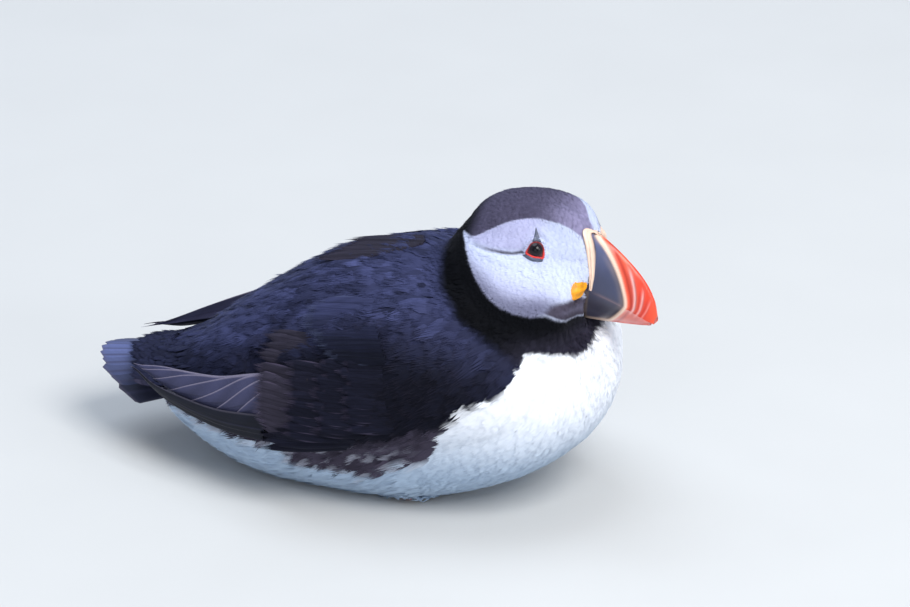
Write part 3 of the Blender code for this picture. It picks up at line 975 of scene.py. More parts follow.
    def face_colour(self, head: Array, depth: Array) -> Array:
        """Colours inside the white cheek.

        Args:
            head: Places in the head's axes.
            depth: How far inside the cheek they lie.

        Returns:
            A linear colour for each place.
        """
        x, z = head[..., 0], head[..., 2]
        crease_z = np.interp(x, [-41, -32.4, -20.8, -14, -8], [9, 10.8, 14.1, 19, 26])
        behind = ramp(-12, -24, x) * ramp(-1, 2, z - crease_z)
        colour = mixed(Tone.FACE, Tone.FACE_LILAC, 0.85 * behind)
        wide = ramp(17, 5, depth) * ramp(11, 1, z) * ramp(3, -8, x)
        colour = mixed(colour, Tone.FACE_LILAC, 0.6 * wide)
        front = ramp(-26, -8, x)
        low = ramp(5.5 + 1.6 * front, 0.5 + 1.6 * front, depth) * ramp(8, 0, z) * ramp(2, -3, x)
        colour = mixed(colour, Tone.FACE_RIM, (0.66 + 0.14 * front) * low)
        inside = self.skull.inside(head, np.array(self.chin))
        colour = mixed(colour, Tone.CHIN, ramp(-1.1, 0.6, inside))
        colour = mixed(colour, Tone.FACE_LILAC, 0.14 * ramp(1.2, 3.4, inside))
        rim = 0.45 * ramp(0.8, 0.4, depth) * ramp(-2.5, 0.5, inside) * (z < 0)
        colour = mixed(colour, Tone.FACE, rim)
        # Painted shade along the fold behind the eye.
        fold = line_distance(np.stack([x, z], -1), spline(np.array(self.crease)[:, [0, 2]], 40))
        return mixed(colour, Tone.CREASE, 0.85 * ramp(0.85, 0.15, fold) * ramp(-42, -28, x))

    def crown_colour(self, head: Array) -> Array:
        """Colours of the cap, greyer towards the forehead and black at the nape.

        Args:
            head: Places in the head's axes.

        Returns:
            A linear colour for each place.
        """
        x, _, z = head.T
        colour = mixed(Tone.CROWN, Tone.FOREHEAD, ramp(-28, -4, x) ** 1.5)
        return mixed(colour, Tone.NAPE, ramp(-40, -49, x + 0.25 * (z - 12)))

    def colours(self, points: Array, soft: float = 0.6) -> Array:
        """The coat's colour.

        Args:
            points: Places in millimetres.
            soft: Half the width over which white turns to dark, in millimetres.

        Returns:
            A linear colour for each place.
        """
        head = self.axes.local(points)
        over = self.height_over_border(points)
        z = points[:, 2]
        # Painted shade: the white turns blue-grey lower down.
        pale = mixed(Tone.WHITE, Tone.BELLY_SHADE, ramp(56, 16, z))
        colour = mixed(pale, self.dark(points, head), ramp(-soft, soft, over))
        crown = self.on_crown(head)
        colour[crown] = self.crown_colour(head[crown])
        depth = self.cheek_depth(head)
        white = depth > -1.5
        face = self.face_colour(head[white], depth[white])
        colour[white] = mixed(colour[white], face, ramp(-0.35, 0.35, depth[white]))
        return colour

    def dark(self, points: Array, head: Array) -> Array:
        """Colours of the back, the flanks and the collar, with a painted sheen on top of the back and painted
        shade under the shoulder lobe and low on the rump.

        Args:
            points: Places in millimetres.
            head: The same places in the head's axes.

        Returns:
            A linear colour for each place.
        """
        x, y, z = points.T
        # Painted sheen: the top of the back is lighter and bluer, as if lit by the sky, in slow patches.
        sheen = 0.5 + 0.5 * ripple(points, 16, 3)
        top_sheen = ramp(50, 34, np.abs(y)) * (0.75 + 0.25 * sheen)
        dark = mixed(Tone.MANTLE, Tone.MANTLE_PAINTED_SHEEN, top_sheen)
        # Painted light and shade: toward the front the back is darker low down and lighter up top, as lit
        # from above.
        fore = ramp(-25, 10, x)
        dark = dark * (1.06 * (1 - fore) + fore * (0.62 + 0.54 * ramp(66, 88, z)))[:, None]
        # Painted shade in the dip under the shoulder lobe and in the groove above it.
        hollow_shade = np.exp(-(((x + 3) / 15) ** 2) - ((z - 63 - 0.25 * x) / 6.5) ** 2) * (np.abs(y) > 36)
        side = np.stack([x, np.abs(y), z], -1)
        valley_shade = bell(line_distance(side, np.array(self.hollow_shade)), 3.6)
        # Painted shade: the lower side of the rump is darker.
        rear = ramp(4, -4, z - 53 - 0.42 * (x + 55)) * ramp(-8, -22, x)
        dark = dark * ((1 - 0.5 * hollow_shade) * (1 - 0.5 * valley_shade) * (1 - 0.62 * rear))[:, None]
        foot = np.interp(x, *np.array(self.wing_foot).T)
        dark = mixed(dark, Tone.FLANK, ramp(3, -2, z - foot) * ramp(78, 66, x))
        near = np.linalg.norm(head - np.array(self.collar_middle), axis=-1)
        near = near - np.interp(head[..., 0], [-51, -38, -13], [36, 40, 46])
        collar = ramp(2.5, -2.5, near) * ramp(-23, -18, head[..., 2] + 0.25 * head[..., 0])
        throat = mixed(Tone.COLLAR, Tone.COLLAR_LOW, ramp(80, 70, z) * ramp(55, 75, x))
        return dark + (throat - dark) * collar[:, None]


class Surface:
    """The skin as numbers: nearest points, smooth normals, bake places and scattered roots."""

    def __init__(self, skin: Piece) -> None:
        """Reads the skin's mesh.

        Args:
            skin: The skin's object.
        """
        mesh = skin.data
        mesh.calc_loop_triangles()
        self.points = read(mesh.vertices, "co", 3)
        self.normals = read(mesh.vertices, "normal", 3)
        self.faces = read(mesh.loop_triangles, "vertices", 3, np.int32)
        loops = read(mesh.loop_triangles, "loops", 3, np.int32)
        self.places = read(mesh.uv_layers[BAKE_MAP].data, "uv", 2)[loops]
        self.tree = BVHTree.FromPolygons(self.points.tolist(), self.faces.tolist())

    def shares(self, points: Array, faces: Array) -> Array:
        """Barycentric shares of points on their faces.

        Args:
            points: Places in metres, on the faces.
            faces: The face of each.

        Returns:
            Three shares for each place.
        """
        a, b, c = (self.points[self.faces[faces, k]] for k in range(3))
        ab, ac, ap = b - a, c - a, points - a
        d00, d01, d11 = (ab * ab).sum(1), (ab * ac).sum(1), (ac * ac).sum(1)
        d20, d21 = (ap * ab).sum(1), (ap * ac).sum(1)
        scale = np.maximum(d00 * d11 - d01 * d01, 1e-20)
        v, w = (d11 * d20 - d01 * d21) / scale, (d00 * d21 - d01 * d20) / scale
        found = np.clip(np.stack([1 - v - w, v, w], 1), 0, 1)
        return found / found.sum(1, keepdims=True)

    def nearest(self, points: Array) -> tuple[Array, Array, Array]:
        """The nearest places on the skin.

        Args:
            points: Places in metres.

        Returns:
            The places on the skin, their smooth normals and their faces.
        """
        found = [self.tree.find_nearest(p) for p in points]
        places = np.array([f[0] for f in found])
        faces = np.array([f[2] for f in found])
        shares = self.shares(places, faces)
        normals = (self.normals[self.faces[faces]] * shares[..., None]).sum(1)
        return places, unit(normals), faces

    def bake_places(self, points: Array, faces: Array) -> Array:
        """Where points lie on the skin's unwrap."""
        return (self.places[faces] * self.shares(points, faces)[..., None]).sum(1)

    def cast(self, origin: Array, way: Array) -> Array | None:
        """The first place that a ray meets, in metres, or None."""
        hit = self.tree.ray_cast(Vector(origin), Vector(way))
        return None if hit[0] is None else np.array(hit[0])

    def scatter(self, spacing: float, seed: int, wanted: Marker) -> tuple[Array, Array, Array]:
        """Spreads roots evenly over the wanted part of the skin.

        Args:
            spacing: Least distance between two roots, in metres.
            seed: Picks one spread.
            wanted: Says which row-frame points, in millimetres, may be used.

        Returns:
            The roots in metres, their normals and their faces.
        """
        chance = np.random.default_rng(seed)
        corners = self.points[self.faces]
        middle = corners.mean(1)
        keep = np.flatnonzero(wanted(middle / MM))
        corners = corners[keep]
        a, b, c = corners[:, 0], corners[:, 1], corners[:, 2]
        area = 0.5 * np.linalg.norm(np.cross(b - a, c - a), axis=1)
        count = int(3.2 * area.sum() / spacing**2)
        pick = chance.choice(len(keep), count, p=area / area.sum())
        u, v = np.sqrt(chance.random(count)), chance.random(count)
        shares = np.stack([1 - u, u * (1 - v), u * v], 1)
        points = (corners[pick] * shares[..., None]).sum(1)
        chosen = self.thinned(points, spacing)
        faces, shares = keep[pick[chosen]], shares[chosen]
        normals = (self.normals[self.faces[faces]] * shares[..., None]).sum(1)
        return points[chosen], unit(normals), faces

    @staticmethod
    def thinned(points: Array, spacing: float) -> Array:
        """Picks points, in order, that keep a distance from each other.

        Args:
            points: The places.
            spacing: The least distance between two of them.

        Returns:
            The numbers of the picked places.
        """
        cells: dict[tuple[int, int, int], list[int]] = {}
        keys = np.floor(points / spacing).astype(int)
        chosen: list[int] = []
        around = [(i, j, k) for i in (-1, 0, 1) for j in (-1, 0, 1) for k in (-1, 0, 1)]
        places = points.tolist()
        for index, ((x, y, z), place) in enumerate(zip(keys.tolist(), places)):
            near = (places[other] for i, j, k in around for other in cells.get((x + i, y + j, z + k), ()))
            if all(math.dist(place, other) >= spacing for other in near):
                cells.setdefault((x, y, z), []).append(index)
                chosen.append(index)
        return np.array(chosen, int)


@dataclass
class Skin:
    """One seamless skin over head, neck, trunk and wing arms, inside them by the coat's depth."""

    axes: HeadAxes
    marks: Markings
    voxel: float = 1.05
    smoothing: int = 9
    body_depth: float = 2.3
    head_depth: float = 0.8
    wing_cut: float = -30.0
    crease_depth: float = 0.55
    lore_reach: float = 1.0
    brow_height: float = 2.2
    crown_height: float = 1.7
    horn_depth: float = 2.4
    dent: float = 0.9
    front_line: Outline = ((1, 4), (9, 3.4), (16, 1.8), (21, -0.4), (24, -2.6), (26, -3.6))
    peak_line: Outline = ((-4, -4), (-2.8, -2.2), (-1.5, -0.8), (-0.7, 0.4), (0, 0.8), (1.5, 0.6), (4, -1.5))

    def gathered(self) -> Piece:
        """Joins the frame's flesh and the wings' arms.

        Returns:
            One object with all of them.
        """
        made = bmesh.new()
        for name in ("trunk", "neck", "head", "wing_right", "wing_left"):
            part = bmesh.new()
            part.from_mesh(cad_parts[name].data)
            bmesh.ops.remove_doubles(part, verts=part.verts[:], dist=0.01 * MM)
            if name.startswith("wing"):
                everything = part.verts[:] + part.edges[:] + part.faces[:]
                plane = {"plane_co": (self.wing_cut * MM, 0, 0), "plane_no": (-1, 0, 0)}
                cut = bmesh.ops.bisect_plane(part, geom=everything, clear_outer=True, **plane)
                edges = [e for e in cut["geom_cut"] if isinstance(e, bmesh.types.BMEdge)]
                bmesh.ops.edgeloop_fill(part, edges=edges)
            mesh = bpy.data.meshes.new(name + "_part")
            part.to_mesh(mesh)
            made.from_mesh(mesh)
            part.free()
        mesh = bpy.data.meshes.new("skin")
        made.to_mesh(mesh)
        made.free()
        return placed("skin", mesh)

    def remeshed(self, piece: Piece) -> None:
        """Fuses the joined parts and smooths them.

        Args:
            piece: The object that holds them.
        """
        remesh = piece.modifiers.new("fuse", "REMESH")
        remesh.mode = "VOXEL"
        remesh.voxel_size = self.voxel * MM
        smooth = piece.modifiers.new("smooth", "SMOOTH")
        smooth.iterations = self.smoothing
        smooth.factor = 0.5
        graph = bpy.context.evaluated_depsgraph_get()
        mesh = bpy.data.meshes.new_from_object(piece.evaluated_get(graph))
        piece.modifiers.clear()
        piece.data = mesh

    def brow(self, head: Array) -> Array:
        """How far the skin stands out on the brow and the front of the crown.

        Args:
            head: Places in the head's axes.

        Returns:
            A height for each place.
        """
        x, y, z = head.T
        wide = np.abs(y)
        brow = np.exp(-(((x + 10.5) / 7) ** 2) - ((wide - 6) / 5) ** 2)
        behind = (x + 20) / np.where(x < -20, 11.6, 8.8)
        crown = bell(behind, 1) * ramp(13, 8, wide)
        dent = np.exp(-(((x + 0.8) / 2.2) ** 2) - ((y + 1.2) / 2) ** 2) * (z > 20)
        return (self.brow_height * brow + self.crown_height * crown) * (z > 15) - self.dent * dent

    def horn_step(self, head: Array) -> Array:
        """How far the skin steps in where the bill's horn begins.

        Args:
            head: Places in the head's axes.

        Returns:
            A depth for each place.
        """
        x, y, z = head.T
        front = np.interp(z, *np.array(self.front_line).T)
        peak = np.interp(y, *np.array(self.peak_line).T)
        front = np.where(z > 20, np.maximum(front, peak), front)
        return self.horn_depth * ramp(-0.6, 1.4, x - front) * (z > 0)

    def sunk(self, mesh: bpy.types.Mesh) -> None:
        """Moves the skin inwards by the coat's depth, with the fold behind the eye.

        Args:
            mesh: The skin's mesh.
        """
        points, normals = read(mesh.vertices, "co", 3) / MM, read(mesh.vertices, "normal", 3)
        head = self.axes.local(points)
        x, y, z = head.T
        away = np.linalg.norm(head - np.array((-20, 0, 6)), axis=1)
        depth = self.head_depth + (self.body_depth - self.head_depth) * ramp(30, 46, away)
        side = np.stack([x, np.abs(y), z], 1)
        fold = line_distance(side, spline(np.array(self.marks.crease), 40))
        depth += self.crease_depth * bell(fold, 0.9) + self.horn_step(head) - self.brow(head)
        depth -= 0.35 * bell(fold - 3, 2.4) * (z > 9)
        lore = ramp(-12, -3, x) * ramp(-15, -11, z) * ramp(24, 17, z) * ramp(2.5, 5.5, np.abs(y))
        reach = lore * (self.lore_reach + 1.5 * ramp(17, 5, z))
        forward = self.axes.matrix @ np.array((1, 0, 0))
        moved = points - normals * depth[:, None] + forward * reach[:, None]
        moved = self.with_lids(self.axes.local(moved))
        mesh.vertices.foreach_set("co", (self.axes.world(moved) * MM).ravel())
        mesh.update()

    def with_lids(self, head: Array) -> Array:
        """Brings the skin of the head up to each eyeball as lids, and takes it behind the ball.

        Args:
            head: Places in the head's axes.

        Returns:
            The moved places.
        """
        for side in (-1.0, 1.0):
            places = self.axes.at_eye(head, side)
            gap = np.hypot(places[:, 0], places[:, 1])
            share = ramp(5.6, 3.8, gap) * (places[:, 2] > -7)
            level = self.axes.lid_height - 0.15 - 3.4 * ramp(2.5, 1.6, gap)
            places[:, 2] += (level - places[:, 2]) * share
            head = np.where(share[:, None] > 0, self.axes.from_eye(places, side), head)
        return head

    def unwrapped(self, piece: Piece) -> None:
        """Lays the skin's own shape out on the bake map.

        Args:
            piece: The skin.
        """
        piece.data.uv_layers.new(name=BAKE_MAP)
        bpy.context.view_layer.objects.active = piece
        piece.select_set(True)
        bpy.ops.object.mode_set(mode="EDIT")
        bpy.ops.mesh.select_all(action="SELECT")
        bpy.ops.uv.smart_project(angle_limit=math.radians(66), island_margin=0.004)
        bpy.ops.object.mode_set(mode="OBJECT")

    def build(self) -> Piece:
        """Makes the skin and dresses it.

        Returns:
            The finished skin.
        """
        piece = self.gathered()
        self.remeshed(piece)
        self.sunk(piece.data)
        self.unwrapped(piece)
        mesh = piece.data
        tinted(mesh, self.marks.colours(read(mesh.vertices, "co", 3) / MM) * 0.8)
        mesh.shade_smooth()
        mesh.materials.clear()
        return finished(piece, SkinFinish(), "plumage", "trunk", "neck", "head")


@dataclass(frozen=True)
class Vane:
    """The make of one kind of small feather."""

    rows: int = 3
    barbs: int = 6
    split: float = 0.55
    point: float = 0.35
    ragged: float = 0.16
    ridge: float = 0.05
    camber: float = 0.10
    narrow: float = 0.8
    hair: bool = False
    taper: float = 0.0


@dataclass
class Roots:
    """A set of feathers to grow: where each starts, where it points and how big it is, in metres."""

    points: Array
    normals: Array
    faces: Array
    ways: Array
    lengths: Array
    widths: Array
    low: Array
    high: Array
    curl: Array | None = None


@dataclass
class Coat:
    """Grows feathers on the skin. Each feather is a small vane whose barbs part near the tip."""

    surface: Surface
    marks: Markings
    seed: int = 11

    def spine(self, roots: Roots, steps: Array) -> tuple[Array, Array, Array]:
        """Walks each feather's middle line over the skin.

        Args:
            roots: The feathers.
            steps: Shares of the length at which to stop.

        Returns:
            Places, normals and directions, with one row for each step.
        """
        if roots.curl is not None:
            ahead = steps[:, None, None]
            bend = roots.normals * (roots.curl * MM)[:, None] * ahead**2
            places = roots.points + roots.ways * roots.lengths[:, None] * ahead - bend
            still = np.ones_like(places)
            return places, roots.normals * still, roots.ways * still
        point, normal, way = roots.points, roots.normals, roots.ways
        places, normals, ways = [point], [normal], [way]
        for ahead in np.diff(steps):
            guess = point + way * (roots.lengths * ahead)[:, None]
            point, normal, _ = self.surface.nearest(guess)
            way = unit(way - (way * normal).sum(1)[:, None] * normal)
            places.append(point)
            normals.append(normal)
            ways.append(way)
        return np.array(places), np.array(normals), np.array(ways)

    def grow(self, roots: Roots, vane: Vane, colour: Painter) -> MeshParts:
        """Makes the vanes.

        Args:
            roots: The feathers.
            vane: Their make.
            colour: Gives the colours from the points in millimetres, the share along, the
                share across and the feather's number.

        Returns:
            The mesh numbers of all the feathers.
        """
        chance = np.random.default_rng(self.seed + len(roots.points))
        count, rows, barbs = len(roots.points), vane.rows, vane.barbs
        steps = np.concatenate([np.linspace(0, vane.split, rows + 1), [1.0]])
        places, normals, ways = self.spine(roots, steps)
        sides = np.cross(normals, ways)
        across = np.linspace(-1, 1, barbs + 1)
        middles = (across[1:] + across[:-1]) / 2
        half = roots.widths / 2
        points, alongs, acrosses = [], [], []

        def put(row: Array, normal: Array, side: Array, along: Array, t: Array, lift: Array) -> None:
            """Adds one point to every feather."""
            offset = side * (t * half)[:, None] + normal * lift[:, None]
            points.append(row + offset)
            alongs.append(along)
            acrosses.append(t)

        rise = roots.high - roots.low
        for r in range(rows + 1):
            s = steps[r]
            wide = 0.5 + 0.5 * math.sin(min(1.0, s / max(vane.split, 0.01) * 1.05 + 0.15) * math.pi / 2)
            wide *= 1 - vane.taper * float(ramp(0.4, 1, np.array(s))) ** 1.4
            for c, t in enumerate(across):
                comb = vane.ridge * (1 if c % 2 else -1) * MM * min(1.0, 3 * s)
                bow = vane.camber * (1 - t * t) * half
                lift = roots.low + rise * s + bow + comb
                put(places[r], normals[r], sides[r], np.full(count, s), np.full(count, t * wide), lift)
        base = rows + 1
        last, tip = places[rows], places[rows + 1]
        quads, triangles = [grid_faces(rows + 1, barbs + 1)], []
        first = (rows + 1) * (barbs + 1)
        for j, t in enumerate(middles):
            reach = 1 - vane.point * t * t - vane.ragged * chance.random(count)
            share = np.clip((reach - vane.split) / (1 - vane.split), 0.12, 1)
            sway = t * vane.narrow + chance.normal(0, 0.07, count)
            left, right = rows * (barbs + 1) + j, rows * (barbs + 1) + j + 1
            if vane.hair:
                mid = last + (tip - last) * (share * 0.55)[:, None]
                thin = 0.62 / barbs
                for edge in (-thin, thin):
                    along = vane.split + 0.55 * share * (1 - vane.split)
                    lift = roots.low + rise * along + vane.camber * (1 - t * t) * half * 0.8
                    spread = 0.55 * sway + 0.45 * t + edge
                    put(mid, normals[base], sides[base], along, spread, lift)
                quads.append(np.array([[left, right, first + 1, first]]))
                triangles.append([first, first + 1, first + 2])
                first += 2
            else:
                triangles.append([left, right, first])
            place = last + (tip - last) * share[:, None]
            along = vane.split + share * (1 - vane.split)
            lift = roots.low + rise * along + vane.camber * (1 - t * t) * half * 0.4
            put(place, normals[base], sides[base], along, sway, lift)
            first += 1
        stacked = np.stack(points, 1)
        along, spread = np.stack(alongs, 1), np.stack(acrosses, 1)
        each = stacked.shape[1]
        shift = (np.arange(count) * each)[:, None, None]
        quad_set = (np.vstack(quads)[None] + shift).reshape(-1, 4)
        triangle_set = (np.array(triangles)[None] + shift).reshape(-1, 3)
        flat = stacked.reshape(-1, 3)
        flat[:, 2] = np.maximum(flat[:, 2], FLOOR_CLEAR)
        number = np.repeat(np.arange(count), each)
        home = np.repeat(roots.points, each, 0)
        along, spread = along.ravel(), spread.ravel()
        colours = colour(flat / MM, home / MM, along, spread, number)
        where = np.repeat(self.surface.bake_places(roots.points, roots.faces), each, 0)
        patch = np.stack([spread * 0.5, along - 0.5], 1) * PATCH
        vane_map = np.stack([spread * 0.5 + number * 1.37 % 50, along + number * 0.71 % 50], 1)
        return MeshParts(flat, quad_set, triangle_set, colours, where + patch, vane_map)


@dataclass(frozen=True)
class Tract:
    """One stretch of coat: which regions it covers and how its feathers are."""

    name: str
    regions: tuple[Region, ...]
    spacing: float
    length: float
    width: float
    low: float
    high: float
    vane: Vane
    slot: str
    crisp: float = 0.5
    wander: float = 8.0
    shade: float = 0.12
    streaks: float = 0.0
    rim: float = 0.0


@dataclass
class Plumage:
    """The small feathers of the whole bird, tract by tract."""

    coat: Coat
    marks: Markings
    axes: HeadAxes
    finishes: dict[str, Finish]
    bill_root: Place = (2, 0, 6)

    def flow(self, points: Array, normals: Array) -> Array:
        """The way that feathers point at places in millimetres: away from the bill, then back and down.

        Args:
            points: Places in millimetres.
            normals: The skin's normals there.

        Returns:
            A direction for each place.
        """
        root = self.axes.world(np.array(self.bill_root))
        away = points - root
        distance = np.linalg.norm(away, axis=1)
        share = 1 - 0.62 * ramp(25, 95, distance)
        down = -0.16 - 0.25 * ramp(80, 30, points[:, 2]) * ramp(20, 45, np.abs(points[:, 1]))
        back = unit(np.stack([-np.ones(len(points)), np.zeros(len(points)), down], 1))
        way = unit(away) * share[:, None] + back * (1.1 - share)[:, None]
        return unit(way - (way * normals).sum(1)[:, None] * normals)

    def turned(self, ways: Array, normals: Array, wander: float, chance: np.random.Generator) -> Array:
        """Turns each direction a little, about its normal, by up to a few degrees.

        Args:
            ways: The directions.
            normals: The skin's normals.
            wander: The usual turn, in degrees.
            chance: The source of random numbers.

        Returns:
            The turned directions.
        """
        angle = np.radians(chance.normal(0, wander, len(ways)))
        side = np.cross(normals, ways)
        return ways * np.cos(angle)[:, None] + side * np.sin(angle)[:, None]

    def lay(self, tract: Tract, seed: int) -> None:
        """Makes one tract's piece.

        Args:
            tract: The tract.
            seed: Picks one spread of its feathers.
        """
        numbers = [region.value for region in tract.regions]

        def wanted(points: Array) -> Array:
            """Whether the tract's feathers may start at each place."""
            return np.isin(self.marks.regions(points), numbers) & ~self.marks.bare(points)

        points, normals, faces = self.coat.surface.scatter(tract.spacing * MM, seed, wanted)
        chance = np.random.default_rng(seed)
        count = len(points)
        size = 1 + 0.18 * chance.normal(size=count)
        head = self.axes.local(points / MM)
        size = np.minimum(size, (0.55 + 0.95 * np.abs(self.axes.eye_gap(head))) / tract.length)
        if Region.FACE in tract.regions:
            size = np.minimum(size, (1.3 + 0.5 * np.abs(self.marks.cheek_depth(head))) / tract.length)
        ways = self.turned(self.flow(points / MM, normals), normals, tract.wander, chance)
        low = tract.low * MM * np.ones(count)
        high = np.maximum(tract.high * MM * (1 + 0.25 * chance.normal(size=count)), low)
        lengths, widths = tract.length * MM * size, tract.width * MM * size
        roots = Roots(points, normals, faces, ways, lengths, widths, low, high)
        light = 1 + tract.shade * chance.normal(size=count)
        pale = 0.75 * (chance.random(count) < tract.streaks) * ramp(42, 26, points[:, 2] / MM)

        def colour(place: Array, home: Array, along: Array, across: Array, number: Array) -> Array:
            """The coat's colour at each root, shaded from feather to feather."""
            found = self.marks.colours(home + (place - home) * tract.crisp) * light[number][:, None]
            found = mixed(found, Tone.FLANK_PALE, pale[number] * along)
            edge = tract.rim * ramp(0.55, 1, np.maximum(np.abs(across), along)) * ramp(0.3, 0.8, along)
            return mixed(found, Tone.COVERT_BROWN, edge) * (0.86 + 0.2 * along)[:, None]

        piece = self.coat.grow(roots, tract.vane, colour).to_object(tract.name)
        finished(piece, self.finishes[tract.slot], tract.slot.replace("white_", ""))

    def build(self) -> None:
        """Makes every tract."""
        small = Vane(rows=2, barbs=3, split=0.5, point=0.3, ragged=0.3, ridge=0.015, camber=0.06)
        soft = Vane(rows=2, barbs=6, split=0.35, point=0.3, ragged=0.3, ridge=0.03, camber=0.06, hair=True)
        firm = Vane(rows=2, barbs=9, split=0.4, point=0.3, ragged=0.25, ridge=0.04, camber=0.08, hair=True)
        dark, face, white, collar = "plumage", "face_plumage", "white_plumage", "collar_plumage"
        tracts = (
            Tract("coat_face", (Region.FACE,), 0.56, 2.9, 1.5, 0.05, 0.42, small, face, 0.85, 6, 0.02),
            Tract("coat_crown", (Region.CROWN,), 0.58, 2.9, 1.3, 0.05, 0.45, small, dark, 0.85, 6, 0.07),
            Tract("coat_edge", (Region.EDGE,), 0.5, 2.4, 1.2, 0.05, 0.5, small, collar, 0.85, 6, 0.06),
            Tract("coat_collar", (Region.COLLAR,), 1, 5.2, 2.2, 0.1, 1, soft, collar, 0.5, 7, 0.1),
            Tract("coat_breast", (Region.BREAST,), 1.15, 7, 3, 0.15, 0.7, soft, white, 0.3, 6, 0.01),
            Tract("coat_belly", (Region.BELLY,), 1.5, 10, 3.8, 0.2, 1.4, soft, white, 0.3, 12, 0.03),
            Tract("coat_mantle", (Region.MANTLE,), 1.5, 11, 4.4, 0.2, 1.8, firm, dark, 0.25, 8, 0.26),
            Tract("coat_flank", (Region.FLANK,), 1.4, 12, 3.4, 0.2, 2.2, firm, dark, 0.2, 12, 0.2, 0.3),
            Tract("coat_wings", (Region.WING,), 1.6, 9.5, 4.6, 0.2, 1.9, firm, dark, 0.2, 8, 0.14, 0, 0.5),
        )
        for index, tract in enumerate(tracts):
            self.lay(tract, 100 + index)


@dataclass(frozen=True)
class Row:
    """A row of larger feathers that overlap like tiles, from a line of roots to a line of tips."""

    roots: Line
    tips: Line
    out: Place
    count: int
    width: float
    base: Tone | None
    edge: Tone
    pale: float = 0.35
    lift: float = 0.6
    curl: float = 0.6
    rough: float = 0.04
    taper: float = 0.45


